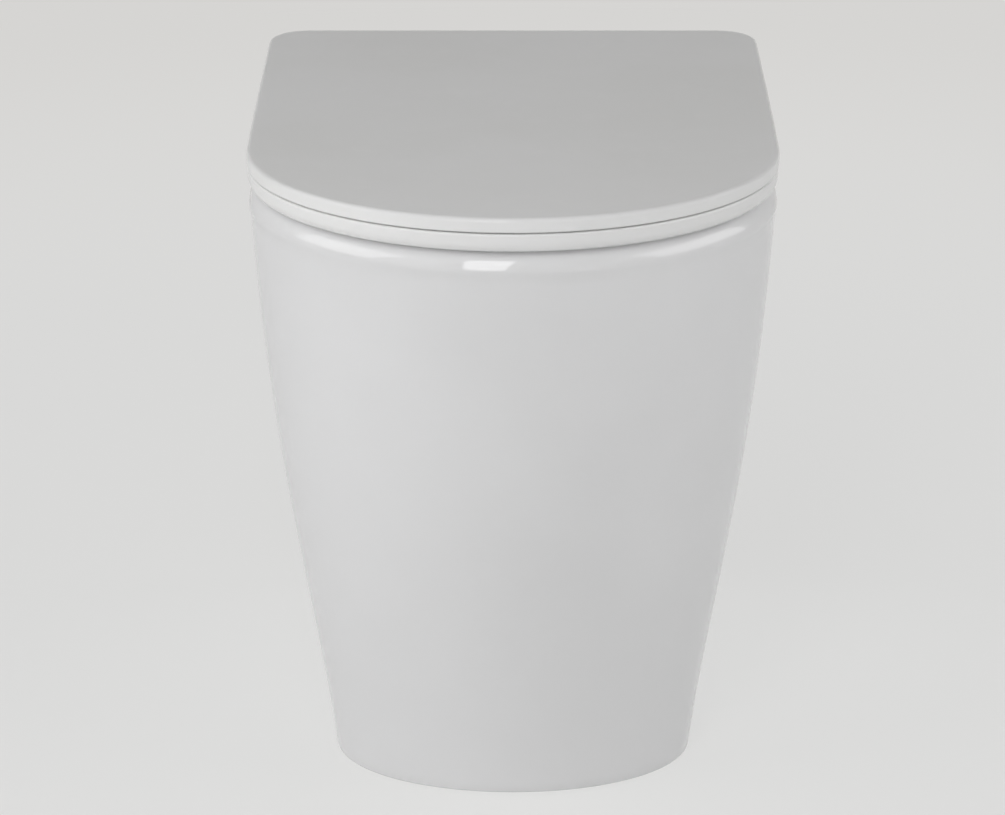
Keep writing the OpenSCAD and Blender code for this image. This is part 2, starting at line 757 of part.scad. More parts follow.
module seat_ring() {
    top_r = 1.5;
    inner_r = 5;
    inner_low_r = 3;
    arm_lap = 12;
    arm_t = 8.6;
    arm_end = 2.5;
    heel = 10;
    heel_low = 5;
    arm_in = ring_set + arm_lap;
    arm_top = ring_z + ring_t - axis_z - arm_drop;
    arm_low = arm_top - arm_t;
    color("white") difference() {
        union() {
            loft(closed = true, rings = concat(
                [for (i = [0:4]) let (a = 22.5*i)
                    seat_outer(ring_edge_r*(1 - sin(a)), ring_edge_r*(1 - cos(a)))],
                [for (i = [0:2]) let (a = 45*i) seat_outer(top_r*(1 - cos(a)), ring_t - top_r*(1 - sin(a)))],
                [for (i = [3:-1:0]) let (a = 30*i)
                    seat_inner(inner_r*(1 - cos(a)), ring_t - inner_r*(1 - sin(a)))],
                [for (i = [0:2]) let (a = 45*i)
                    seat_inner(inner_low_r*(1 - cos(a)), inner_low_r*(1 - sin(a)))]));
            for (side = [-1, 1]) ear(side, false, [
                [-arm_in, arm_low], [-heel, arm_low], [-arm_end, -heel_low], [-arm_end, arm_top],
                [-arm_in, arm_top]]);
        }
        for (side = [-1, 1]) ear_bore(side, false);
        at_seat_buffers() cylinder(d = seat_buffer_d + 2*running_clearance, h = buffer_seat + 1);
    }
}

// Two buffers stand at the sides and two behind the hole
module at_seat_buffers() {
    rear_x = 108;
    rear_set = 4;
    rear_y = ring_back_y - ring_rear/2 + rear_set;
    for (side = [-1, 1]) {
        translate([side*side_buffer_x, hole_y - seat_buffer_forward, ring_z - 1]) children();
        translate([side*rear_x, rear_y, ring_z - 1]) children();
    }
}

module seat_buffers() {
    color("dimgray") at_seat_buffers()
        translate([0, 0, 1 - seat_gap + buffer_clearance])
        cylinder(d = seat_buffer_d, h = buffer_seat + seat_gap - buffer_clearance);
}

module lid() {
    border = 14;
    low_r = 1.5;
    arm_lap = 10;
    arm_t = 4.8;
    nape = 2;
    nape_up = 5;
    arm_in = lid_set + arm_lap;
    arm_low = lid_z - axis_z + arm_drop;
    arm_top = arm_low + arm_t;
    color("white") difference() {
        union() {
            loft(concat(
                [lid_ring(border + lid_recess, lid_recess), lid_ring(border, 0)],
                [for (i = [0:2]) let (a = 45*i) lid_ring(low_r*(1 - sin(a)), low_r*(1 - cos(a)))],
                [for (i = [0:4]) let (a = 22.5*i)
                    lid_ring(lid_edge_r*(1 - cos(a)), lid_t - lid_edge_r*(1 - sin(a)))]));
            for (side = [-1, 1]) ear(side, true,
                [[-arm_in, arm_low], [-nape, arm_low], [0, nape_up], [-arm_in, arm_top]]);
        }
        for (side = [-1, 1]) ear_bore(side, true);
        at_lid_buffers() translate([0, 0, -1])
            cylinder(d = lid_buffer_d + 2*running_clearance, h = lid_buffer_seat + 1);
    }
}

module at_lid_buffers() {
    rear_x = 97.2;
    rear_y = ring_back_y - ring_rear/2;
    for (side = [-1, 1]) {
        translate([side*side_buffer_x, hole_y - lid_buffer_forward, lid_z + lid_recess]) children();
        translate([side*rear_x, rear_y, lid_z + lid_recess]) children();
    }
}

module lid_buffers() {
    below = lid_recess + lid_gap - buffer_clearance;
    color("dimgray") at_lid_buffers() translate([0, 0, -below])
        cylinder(d = lid_buffer_d, h = below + lid_buffer_seat);
}

pan();
inlet_seal();
floor_bracket_left();
floor_bracket_right();
side_screws();
side_cap_left();
side_cap_right();
fixing_studs();
fixing_washers();
expansion_sleeves();
fixing_nuts();
hinge_base_left();
hinge_base_right();
hinge_barrel_left();
hinge_barrel_right();
hinge_pins();
lid_damper();
lid_damper_shaft();
seat_damper();
seat_damper_shaft();
release_button_left();
release_button_right();
seat_ring();
seat_buffers();
lid();
lid_buffers();
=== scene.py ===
"""A back-to-wall toilet: glazed skirted pan, slim seat and lid, chromed hinges.
Metres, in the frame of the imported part."""
import json
from math import asin, cos, degrees, pi, radians, sin, tan

import bmesh
import bpy
from mathutils import Matrix, Vector


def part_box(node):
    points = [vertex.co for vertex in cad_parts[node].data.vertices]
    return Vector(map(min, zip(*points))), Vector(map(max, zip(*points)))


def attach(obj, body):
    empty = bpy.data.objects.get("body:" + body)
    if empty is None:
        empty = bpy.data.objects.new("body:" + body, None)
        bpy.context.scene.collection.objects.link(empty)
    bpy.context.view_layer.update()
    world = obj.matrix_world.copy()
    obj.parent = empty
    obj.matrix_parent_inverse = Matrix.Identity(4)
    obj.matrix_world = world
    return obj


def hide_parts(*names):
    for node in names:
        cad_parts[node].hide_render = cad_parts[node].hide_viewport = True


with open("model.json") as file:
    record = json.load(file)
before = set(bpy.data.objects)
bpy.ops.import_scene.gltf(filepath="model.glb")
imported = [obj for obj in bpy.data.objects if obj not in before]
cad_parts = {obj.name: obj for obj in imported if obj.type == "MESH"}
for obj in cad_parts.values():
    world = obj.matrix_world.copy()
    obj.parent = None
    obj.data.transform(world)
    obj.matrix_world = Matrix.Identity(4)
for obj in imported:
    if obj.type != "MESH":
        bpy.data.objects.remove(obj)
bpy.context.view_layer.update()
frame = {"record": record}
MM = 0.001


# The pan's sizes, in metres: those of the source, tied to the boxes of the frame where they can be

PAN_LOW, PAN_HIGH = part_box("pan")
LID_LOW, LID_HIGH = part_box("lid")
RING_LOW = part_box("seat_ring")[0]
WALL_Y = PAN_HIGH.y
RIM_H = PAN_HIGH.z
RIM_FRONT_Y = PAN_LOW.y
PAN_W = PAN_HIGH.x - PAN_LOW.x
FOOT_W = 247*MM
RIM_NOSE = 156*MM
FOOT_NOSE = 88*MM
FOOT_SETBACK = 73*MM
WALL_TAPER = 0.975
SKIRT_T = 12*MM
DECK_T = 14*MM
RIM_R = 13*MM
FOOT_R = 3*MM
BACK_FLANGE = 16*MM

BOWL_W = 276*MM
FRONT_RIM = 41*MM
REAR_DECK = 120*MM
LIP_R = 6*MM
LIP_H = 20*MM
CHANNEL_D = 6*MM
CHANNEL_H = 20*MM
BOWL_T = 8*MM

TRAP_R = 25*MM
BEND_R = 36*MM
CROWN_R = 38*MM
SUMP_Y = -30*MM
SUMP_H = 74*MM
CLIMB = radians(60)
WEIR_H = 186*MM

SPIGOT_R = 51*MM
SPIGOT_T = 9*MM
OUTLET_H = 180*MM
OUTLET_BACK = 45*MM
SPIGOT_LEN = 36*MM
INLET_H = 350*MM
INLET_R = 30*MM
INLET_T = 8*MM
INLET_BACK = 42*MM
SLOT_H = 12*MM

# Handles of the side profile from foot to rim, as shares of the swell and of the height
SWELL_HANDLES = (0, 0.235, 0.78, 1)
HEIGHT_HANDLES = (0, 0.27, 0.5, 1)


# Curves

def bezier(t, p):
    """A cubic Bezier value at t from its four handles."""
    return (1 - t)**3*p[0] + 3*(1 - t)**2*t*p[1] + 3*(1 - t)*t*t*p[2] + t**3*p[3]


def mix(a, b, t):
    return a + (b - a)*t


def quarter(steps):
    """Angles from 0 to a right angle."""
    return [pi/2*i/steps for i in range(steps + 1)]


def round_edge(r, steps):
    """Pairs along a rounded edge: the first grows from 0 to r, and the second falls from r to 0."""
    return [(r*(1 - cos(a)), r*(1 - sin(a))) for a in quarter(steps)]


# Camera

PHOTO_W = 1005
FOCAL_PX = 5299.1
PITCH = 0.3545
CAMERA_H = 1.5182
CAMERA_DISTANCE = 3.2588
CENTRE_PX = 513.0
SENSOR_W = 36
VIEW_REACH = 50


def make_camera():
    data = bpy.data.cameras.new("camera")
    data.sensor_fit = "HORIZONTAL"
    data.sensor_width = SENSOR_W
    data.lens = FOCAL_PX/PHOTO_W*SENSOR_W
    data.shift_x = (PHOTO_W/2 - CENTRE_PX)/PHOTO_W
    data.clip_end = VIEW_REACH
    camera = bpy.data.objects.new("camera", data)
    camera.location = (0, LID_LOW.y - CAMERA_DISTANCE, CAMERA_H)
    camera.rotation_euler = (pi/2 - PITCH, 0, 0)
    bpy.context.scene.collection.objects.link(camera)
    bpy.context.scene.camera = camera


make_camera()


# Rings of points: one plan round the whole object, so that every piece can be skinned ring to ring

FRONT_STEPS = 96
SIDE_STEPS = 20
CORNER_STEPS = 8
BACK_STEPS = 24
REAR_POINTS = 2*SIDE_STEPS + 2*(CORNER_STEPS + 1) + BACK_STEPS - 1
TAPER_EASE = 1.25


def d_outline(half, front, nose, back, corner, inset):
    """A half ellipse in front, easing into straight sides that narrow a little to two round rear corners."""
    shoulder = front + nose
    back_half = half*WALL_TAPER
    rear = back - inset
    corner = max(corner - inset, MM)
    turn = rear - corner
    points = []
    for i in range(FRONT_STEPS + 1):
        a = pi + pi*i/FRONT_STEPS
        normal = Vector((cos(a)/half, sin(a)/nose)).normalized()
        points.append(Vector((half*cos(a), shoulder + nose*sin(a))) - inset*normal)
    side = []
    for i in range(1, SIDE_STEPS + 1):
        t = i/(SIDE_STEPS + 1)
        side.append((mix(half, back_half, t**TAPER_EASE) - inset, mix(shoulder, turn, t)))
    reach = back_half - inset - corner
    bend = [(reach + corner*cos(a), turn + corner*sin(a)) for a in quarter(CORNER_STEPS)]
    points += [Vector(p) for p in side + bend]
    points += [Vector((reach*(1 - 2*i/BACK_STEPS), rear)) for i in range(1, BACK_STEPS)]
    points += [Vector((-x, y)) for x, y in reversed(side + bend)]
    return points


def oval(half, centre, front, rear):
    """Two half ellipses that share a width, with as many points as a D outline."""
    points = []
    for i in range(FRONT_STEPS + 1):
        a = pi + pi*i/FRONT_STEPS
        points.append(Vector((half*cos(a), centre + front*sin(a))))
    for i in range(1, REAR_POINTS + 1):
        a = pi*i/(REAR_POINTS + 1)
        points.append(Vector((half*cos(a), centre + rear*sin(a))))
    return points


def at_height(points, z):
    return [Vector((p.x, p.y, z)) for p in points]


def new_object(name, bm):
    bmesh.ops.recalc_face_normals(bm, faces=bm.faces)
    mesh = bpy.data.meshes.new(name)
    bm.to_mesh(mesh)
    bm.free()
    piece = bpy.data.objects.new(name, mesh)
    bpy.context.scene.collection.objects.link(piece)
    return piece


def skin(name, rings, closed=False, bare=0):
    """A skin through rings of as many points each, joined end to start or closed by flat ends.
    The first bare spans take the second finish."""
    bm = bmesh.new()
    rows = [[bm.verts.new(p) for p in ring] for ring in rings]
    count = len(rows[0])
    spans = len(rows) if closed else len(rows) - 1
    for i in range(spans):
        low, high = rows[i], rows[(i + 1) % len(rows)]
        for j in range(count):
            k = (j + 1) % count
            bm.faces.new((low[j], low[k], high[k], high[j])).material_index = int(i < bare)
    if not closed:
        bm.faces.new(rows[0])
        bm.faces.new(rows[-1])
    return new_object(name, bm)


def revolve(name, profile, steps=96):
    """Turns a profile of (radius, height) about Z. A point on the axis closes the form there."""
    bm = bmesh.new()
    rows = []
    for r, h in profile:
        if r == 0:
            rows.append([bm.verts.new((0, 0, h))])
        else:
            rows.append([bm.verts.new((r*cos(2*pi*j/steps), r*sin(2*pi*j/steps), h)) for j in range(steps)])
    ring = profile[0][0] > 0 and profile[-1][0] > 0
    pairs = list(zip(rows, rows[1:])) + ([(rows[-1], rows[0])] if ring else [])
    for low, high in pairs:
        for j in range(steps):
            k = (j + 1) % steps
            corners = [low[j % len(low)], low[k % len(low)], high[k % len(high)], high[j % len(high)]]
            corners = list(dict.fromkeys(corners))
            if len(corners) > 2:
                bm.faces.new(corners)
    return new_object(name, bm)


def rounded(profile, radius, steps=4):
    """Rounds the corners of an open profile of (x, y) points, by less than half of each side."""
    most = 0.45
    out = [profile[0]]
    for before, here, after in zip(profile, profile[1:], profile[2:]):
        p, a, b = Vector(here), Vector(before), Vector(after)
        reach = min(radius, (a - p).length*most, (b - p).length*most)
        start, end = p + (a - p).normalized()*reach, p + (b - p).normalized()*reach
        for i in range(steps + 1):
            t = i/steps
            out.append(tuple((1 - t)**2*start + 2*(1 - t)*t*p + t*t*end))
    return out + [profile[-1]]


def place(piece, matrix):
    """Moves, turns or mirrors a mesh for good."""
    piece.data.transform(matrix)
    if matrix.determinant() < 0:
        piece.data.flip_normals()
    return piece


def on_side(piece, side):
    """Leaves a piece that was made on the right where it is, or mirrors it to the left."""
    return place(piece, Matrix.Diagonal((side, 1, 1, 1)))


def pair(name, make):
    """One mesh of a piece on the right and its mirror image on the left."""
    return joined(name, [make(), on_side(make(), -1)])


def two_finishes(piece, bare=False):
    """Makes room for two finishes, and gives the whole piece the second one if it is bare."""
    piece.data.materials.append(None)
    piece.data.materials.append(None)
    if bare:
        piece.data.polygons.foreach_set("material_index", [1]*len(piece.data.polygons))
    return piece


def smooth(piece, angle):
    piece.data.polygons.foreach_set("use_smooth", [True]*len(piece.data.polygons))
    piece.data.set_sharp_from_angle(angle=radians(angle))
    return piece


def carve(piece, cutter, operation="DIFFERENCE"):
    """Cuts or joins another mesh for good, and removes that mesh."""
    change = piece.modifiers.new("carve", "BOOLEAN")
    change.operation = operation
    change.object = cutter
    change.solver = "EXACT"
    apply_modifiers(piece)
    bpy.data.objects.remove(cutter)
    return piece


def apply_modifiers(piece):
    bpy.context.view_layer.update()
    depsgraph = bpy.context.evaluated_depsgraph_get()
    mesh = bpy.data.meshes.new_from_object(piece.evaluated_get(depsgraph))
    piece.modifiers.clear()
    old = piece.data
    piece.data = mesh
    bpy.data.meshes.remove(old)


def joined(name, pieces):
    """One mesh of several pieces, which are removed."""
    bm = bmesh.new()
    for piece in pieces:
        bm.from_mesh(piece.data)
        bpy.data.objects.remove(piece)
    mesh = bpy.data.meshes.new(name)
    bm.to_mesh(mesh)
    bm.free()
    result = bpy.data.objects.new(name, mesh)
    bpy.context.scene.collection.objects.link(result)
    return result


def cylinder(name, r, low, high, steps=96):
    return revolve(name, [(0, low), (r, low), (r, high), (0, high)], steps)


def along_y(x, z):
    """Turns what stands on Z to lie along +Y, through a point of the XZ plane."""
    return Matrix.Translation((x, 0, z)) @ Matrix.Rotation(-pi/2, 4, "X")


def along_x(y, z):
    """Turns what stands on Z to lie along +X, through a point of the YZ plane."""
    return Matrix.Translation((0, y, z)) @ Matrix.Rotation(pi/2, 4, "Y")


# The pan

MOUTH_FRONT_Y = RIM_FRONT_Y + FRONT_RIM
MOUTH_REAR_Y = WALL_Y - REAR_DECK
MOUTH_Y = (MOUTH_FRONT_Y + MOUTH_REAR_Y)/2
MOUTH_REACH = (MOUTH_REAR_Y - MOUTH_FRONT_Y)/2
CHANNEL_Z = RIM_H - LIP_H - CHANNEL_H
LEDGE_D = 6*MM
LEDGE_DROP = 12*MM
LEDGE_Z = CHANNEL_Z - LEDGE_DROP
WALL_CORNER_R = 4*MM
# The skirt's rear corners are rounder inside, by this share of the inset
CORNER_GROWTH = 0.25
DECK_EDGE = 1.5*MM
CAST_EDGE = 1.5*MM

# Handles of the bowl's section: the throat above the sump, and the belly below the ledge
THROAT_RISE = 40*MM
THROAT_SWELL = 12*MM
THROAT_FRONT = 2*MM
BELLY_DROP = 104*MM
BELLY_SIDE = 40*MM
BELLY_FRONT = 30*MM
BELLY_REAR = 45*MM

BEND_Y = SUMP_Y + BEND_R
BEND_Z = SUMP_H + TRAP_R + BEND_R
PASSAGE_T = BOWL_T - 2*MM
COLLAR = 3*MM
OUTLET_R = SPIGOT_R - SPIGOT_T
SPIGOT_END_Y = WALL_Y - OUTLET_BACK
SPIGOT_Y = SPIGOT_END_Y - SPIGOT_LEN

HORN_ROOT = 60*MM
CHAMBER_W = 56*MM
CHAMBER_D = 7*MM
CHAMBER_T = 8*MM
CHAMBER_LAP = 6*MM
CHAMBER_Y = MOUTH_REAR_Y + CHANNEL_D + BOWL_T + 2*MM
SLOT_DROP = 6*MM
SLOT_Z = RIM_H - LIP_H - SLOT_DROP - SLOT_H
SLOT_SIDE = 2*MM
SLOT_LAP = 2*MM
SLOT_ROOF = 4*MM


def side_half(t):
    """Half the pan's width at a share t of its side profile."""
    return mix(FOOT_W/2, PAN_W/2, bezier(t, SWELL_HANDLES))


def pan_ring(t, inset, lift=0.0):
    """The skirt's outline at a share t of its side profile, drawn in by an inset."""
    s = bezier(t, SWELL_HANDLES)
    front = RIM_FRONT_Y + FOOT_SETBACK*(1 - s)
    nose = mix(FOOT_NOSE, RIM_NOSE, s)
    corner = WALL_CORNER_R + inset*(1 + CORNER_GROWTH)
    outline = d_outline(side_half(t), front, nose, WALL_Y, corner, inset)
    return at_height(outline, RIM_H*bezier(t, HEIGHT_HANDLES) + lift)


def mouth(grow, z):
    return at_height(oval(BOWL_W/2 + grow, MOUTH_Y, MOUTH_REACH + grow, MOUTH_REACH + grow), z)


def funnel(t, grow):
    """The bowl's section from the sump at t = 0 to the ledge under the flush channel at t = 1."""
    sump_front, sump_rear = SUMP_Y - TRAP_R, SUMP_Y + TRAP_R
    half = bezier(t, (TRAP_R, TRAP_R + THROAT_SWELL, BOWL_W/2 - BELLY_SIDE, BOWL_W/2 - LEDGE_D))
    front = bezier(t, (sump_front, sump_front - THROAT_FRONT, MOUTH_FRONT_Y + BELLY_FRONT,
        MOUTH_FRONT_Y + LEDGE_D))
    rear = bezier(t, (sump_rear, sump_rear, MOUTH_REAR_Y - BELLY_REAR, MOUTH_REAR_Y - LEDGE_D))
    centre = mix(SUMP_Y, MOUTH_Y, t)
    z = bezier(t, (BEND_Z, BEND_Z + THROAT_RISE, LEDGE_Z - BELLY_DROP, LEDGE_Z))
    return at_height(oval(half + grow, centre, centre - front + grow, rear - centre + grow), z)


def passage():
    """Centre, direction and radius at stops along the trap, from the sump to the spigot."""
    stops = []
    bend_steps, crown_steps, fall_steps = 18, 12, 14
    for i in range(1, bend_steps + 1):
        a = mix(-pi/2, CLIMB, i/bend_steps)
        stops.append((BEND_Y + BEND_R*sin(a), BEND_Z - BEND_R*cos(a), a, TRAP_R))
    climb_y, climb_z = stops[-1][:2]
    crown_z = WEIR_H + TRAP_R
    climb_len = (crown_z - CROWN_R*(1 - cos(CLIMB)) - climb_z)/sin(CLIMB)
    crown_y = climb_y + climb_len*cos(CLIMB) + CROWN_R*sin(CLIMB)
    for i in range(crown_steps + 1):
        a = CLIMB*(1 - i/crown_steps)
        stops.append((crown_y - CROWN_R*sin(a), crown_z - CROWN_R*(1 - cos(a)), a, TRAP_R))
    for i in range(1, fall_steps + 1):
        t = i/fall_steps
        s = (1 - cos(pi*t))/2
        stops.append((mix(crown_y, SPIGOT_Y, t), mix(crown_z, OUTLET_H, s), 0.0, mix(TRAP_R, OUTLET_R, s)))
    return stops


def passage_ring(stop, grow):
    y, z, a, r = stop
    r += grow
    return [Vector((p.x, y - sin(a)*p.y, z + cos(a)*p.y)) for p in oval(r, 0, r, r)]


def spigot_ring(r, y):
    return [Vector((p.x, y, OUTLET_H + p.y)) for p in oval(r, 0, r, r)]


def hidden_rings(stops):
    """From the spigot's end up the outside of the trap and the bowl, and down inside the skirt."""
    flare = CHANNEL_D + BOWL_T
    flare_drop = 6*MM
    collar_y = SPIGOT_Y - COLLAR
    rings = [spigot_ring(OUTLET_R + CAST_EDGE, SPIGOT_END_Y)]
    rings += [spigot_ring(SPIGOT_R - down, SPIGOT_END_Y - back) for back, down in round_edge(CAST_EDGE, 3)]
    rings += [spigot_ring(SPIGOT_R, y) for y in (mix(SPIGOT_END_Y, collar_y, 0.5), collar_y)]
    rings += [passage_ring(stop, PASSAGE_T) for stop in reversed(stops[:-1])]
    steps = 28
    rings += [funnel(i/steps, mix(PASSAGE_T, BOWL_T, i/steps)) for i in range(1, steps + 1)]
    rings += [mouth(flare, CHANNEL_Z - flare_drop), mouth(flare, RIM_H - DECK_T)]
    steps = 24
    rings += [pan_ring(i/steps, SKIRT_T, -DECK_T*i/steps) for i in range(steps, -1, -1)]
    return rings


def outer_rings():
    """From the foot up the outside of the skirt, over the rim's edge and across it to the mouth."""
    side_top = RIM_H - RIM_R - 2*MM
    rings = [pan_ring(0, inset, up) for up, inset in round_edge(FOOT_R, 5)]
    steps = 80
    side = [pan_ring(i/steps, 0) for i in range(1, steps + 1)]
    rings += [ring for ring in side if ring[0].z < side_top]
    rings += [pan_ring(1, inset, -down) for inset, down in round_edge(RIM_R, 12)]
    return rings + [pan_ring(1, RIM_R + DECK_EDGE, 0), mouth(LIP_R + DECK_EDGE, RIM_H)]


def inner_rings(stops):
    """Over the lip, along the flush channel under it, down the bowl and through the trap and spigot."""
    lip_low = RIM_H - LIP_H + 3*MM
    channel_top = lip_low - 7*MM
    channel_r = 9*MM
    rings = [mouth(grow, RIM_H - down) for grow, down in reversed(round_edge(LIP_R, 8))]
    rings += [mouth(0, mix(RIM_H - LIP_R, lip_low, t)) for t in (0.4, 0.8)]
    channel = [(0, lip_low), (CHANNEL_D, channel_top), (CHANNEL_D, CHANNEL_Z), (-LEDGE_D, LEDGE_Z)]
    rings += [mouth(grow, z) for grow, z in rounded(channel, channel_r, 7)[:-1]]
    steps = 40
    rings += [funnel(i/steps, 0) for i in range(steps, -1, -1)]
    rings += [passage_ring(stop, 0) for stop in stops]
    ends = (mix(SPIGOT_Y, SPIGOT_END_Y, 0.6), SPIGOT_END_Y - CAST_EDGE)
    return rings + [spigot_ring(OUTLET_R, y) for y in ends]


def pan_skin():
    """The casting's one closed skin. Its hidden side is left bare."""
    stops = passage()
    hidden = hidden_rings(stops)
    rings = hidden + outer_rings() + inner_rings(stops)
    return two_finishes(skin("pan_ware", rings, closed=True, bare=len(hidden)))


def flush_horn():
    """The flush inlet's horn behind the bowl, with its bore up to the chamber."""
    start, end = MOUTH_REAR_Y - HORN_ROOT, WALL_Y - INLET_BACK
    outer = INLET_R + INLET_T
    lip = [(outer - down, end - back) for down, back in round_edge(CAST_EDGE, 4)]
    bore = [(INLET_R, end), (INLET_R, CHAMBER_Y), (0, CHAMBER_Y)]
    horn = revolve("horn", [(0, start), (outer, start)] + lip + bore, 128)
    return place(horn, along_y(0, INLET_H))


def bowl_inside():
    """What the horn is trimmed by: the inside of the bowl and a part of its wall."""
    lap = 3*MM
    steps = 12
    rings = [funnel(i/steps, lap) for i in range(1, steps + 1)]
    rings += [mouth(CHANNEL_D + lap, CHANNEL_Z), mouth(CHANNEL_D + lap, RIM_H - LIP_H)]
    return skin("bowl_inside", rings)


def block(name, low, high, radius=0.0):
    """A block between two corners, with its edges rounded where a radius is given."""
    bm = bmesh.new()
    bmesh.ops.create_cube(bm, size=1)
    centre = (Vector(low) + Vector(high))/2
    span = Vector(high) - Vector(low)
    bmesh.ops.transform(bm, matrix=Matrix.Translation(centre) @ Matrix.Diagonal((*span, 1)), verts=bm.verts)
    if radius:
        bmesh.ops.bevel(bm, geom=bm.edges[:], offset=radius, segments=4, profile=0.5, affect="EDGES")
    return new_object(name, bm)


def prism(name, outline, low, high, axis="Y", edge=0.0):
    """An outline in XZ extruded along Y, or one in YZ along X. Its end edges are rounded by edge."""
    def lay(p, at):
        return (p[0], at, p[1]) if axis == "Y" else (at, p[0], p[1])

    bm = bmesh.new()
    rows = [[bm.verts.new(lay(p, at)) for p in outline] for at in (low, high)]
    count = len(outline)
    ends = [bm.faces.new(rows[0]), bm.faces.new(rows[1])]
    for j in range(count):
        k = (j + 1) % count
        bm.faces.new((rows[0][j], rows[0][k], rows[1][k], rows[1][j]))
    if edge:
        rims = {e for face in ends for e in face.edges}
        bmesh.ops.bevel(bm, geom=list(rims), offset=edge, segments=3, profile=0.5, affect="EDGES")
    return new_object(name, bm)


def back_opening():
    """The opening in the pan's back, open to the floor, with a flange left down each side."""
    inset = SKIRT_T + BACK_FLANGE
    half_way = 0.6
    low, middle, high = (side_half(t)*WALL_TAPER - inset for t in (0, half_way, 1))
    top = RIM_H - 2*DECK_T
    under = -5*MM
    corner_r = 14*MM
    half = [(low, under), (low, 0), (middle, RIM_H/2), (high, top)]
    path = [(-x, z) for x, z in half] + list(reversed(half))
    return prism("back_opening", rounded(path, corner_r, 8), WALL_Y - SKIRT_T - MM, WALL_Y + MM)


FIXING_X = 77.5*MM
HINGE_BACK = 34*MM
FIXING_Y = WALL_Y - HINGE_BACK
FIXING_HOLE_R = 7.5*MM
SIDE_FIXING_BACK = 70*MM
SIDE_FIXING_Y = WALL_Y - SIDE_FIXING_BACK
SIDE_FIXING_T = 0.19
STRAIGHT_LEN = WALL_Y - RIM_FRONT_Y - FOOT_SETBACK - FOOT_NOSE
SIDE_TAPER = mix(1, WALL_TAPER, 1 - SIDE_FIXING_BACK/STRAIGHT_LEN)
SIDE_X = side_half(SIDE_FIXING_T)*SIDE_TAPER
SIDE_FIXING_Z = RIM_H*bezier(SIDE_FIXING_T, HEIGHT_HANDLES)
SCREW_R = 3*MM
SIDE_HOLE_R = SCREW_R + 0.5*MM
CAP_SEAT = 4*MM
CAP_SEAT_X = SIDE_X - CAP_SEAT
CAP_R = 9*MM
SIDE_GAP = 0.3*MM


def over_fixing(piece, side=1, z=RIM_H):
    """Stands a piece over the fixing hole of one side."""
    return place(piece, Matrix.Translation((side*FIXING_X, FIXING_Y, z)))


def on_cap_seat(piece):
    """Lays a piece along the right side hole, with its zero on the seat of the cap."""
    return place(piece, Matrix.Translation((CAP_SEAT_X, 0, 0)) @ along_x(SIDE_FIXING_Y, SIDE_FIXING_Z))


def deck_hole(side):
    """A fixing hole through the deck, with its edges broken."""
    edge = 0.8*MM
    low, high = RIM_H - DECK_T, RIM_H
    hole = revolve("deck_hole", [(0, low - MM), (FIXING_HOLE_R + edge, low - MM), (FIXING_HOLE_R, low + edge),
        (FIXING_HOLE_R, high - edge), (FIXING_HOLE_R + edge + MM, high + MM), (0, high + MM)], 48)
    return over_fixing(hole, side, 0)


def side_hole(side):
    """A screw's hole through the skirt, with the round seat of its cap."""
    seat_r = CAP_R + SIDE_GAP
    start, end = CAP_SEAT_X - 2*SKIRT_T, CAP_SEAT_X + 2*SKIRT_T
    hole = revolve("side_hole", [(0, start), (SIDE_HOLE_R, start), (SIDE_HOLE_R, CAP_SEAT_X),
        (seat_r, CAP_SEAT_X), (seat_r, end), (0, end)], 64)
    return on_side(place(hole, along_x(SIDE_FIXING_Y, SIDE_FIXING_Z)), side)


def horn_and_chamber():
    """The horn, trimmed so that it ends inside the bowl's wall, and the walls of the chamber over it."""
    side = CHAMBER_W/2 + CHAMBER_T
    walls = block("chamber_walls", (-side, CHAMBER_Y - CHAMBER_LAP, INLET_H),
        (side, CHAMBER_Y + CHAMBER_D + CHAMBER_T, RIM_H - DECK_T/2), 2*MM)
    return carve(carve(flush_horn(), bowl_inside()), walls, "UNION")


def flush_bore():
    """What the water fills behind the bowl: the inlet's bore and the chamber that rises from it."""
    side = CHAMBER_W/2
    bore = place(cylinder("bore", INLET_R, CHAMBER_Y, WALL_Y), along_y(0, INLET_H))
    chamber = block("chamber", (-side, CHAMBER_Y, INLET_H),
        (side, CHAMBER_Y + CHAMBER_D, SLOT_Z + SLOT_H + SLOT_ROOF))
    return carve(bore, chamber, "UNION")


def flush_slot():
    """The slot from the chamber through the bowl's wall into the flush channel."""
    side = CHAMBER_W/2 - SLOT_SIDE
    return block("slot", (-side, MOUTH_REAR_Y - CHAMBER_LAP, SLOT_Z),
        (side, CHAMBER_Y + SLOT_LAP, SLOT_Z + SLOT_H))


def pan_ware():
    """The casting with its flush way, open back and holes. The cut faces stay bare, apart from the slot's."""
    ware = pan_skin()
    carve(ware, two_finishes(horn_and_chamber(), bare=True), "UNION")
    carve(ware, two_finishes(flush_slot()))
    carve(ware, two_finishes(flush_bore(), bare=True))
    cutters = [back_opening()] + [cut(side) for side in (-1, 1) for cut in (deck_hole, side_hole)]
    carve(ware, two_finishes(joined("cutters", cutters), bare=True))
    return ware


# Seat and lid

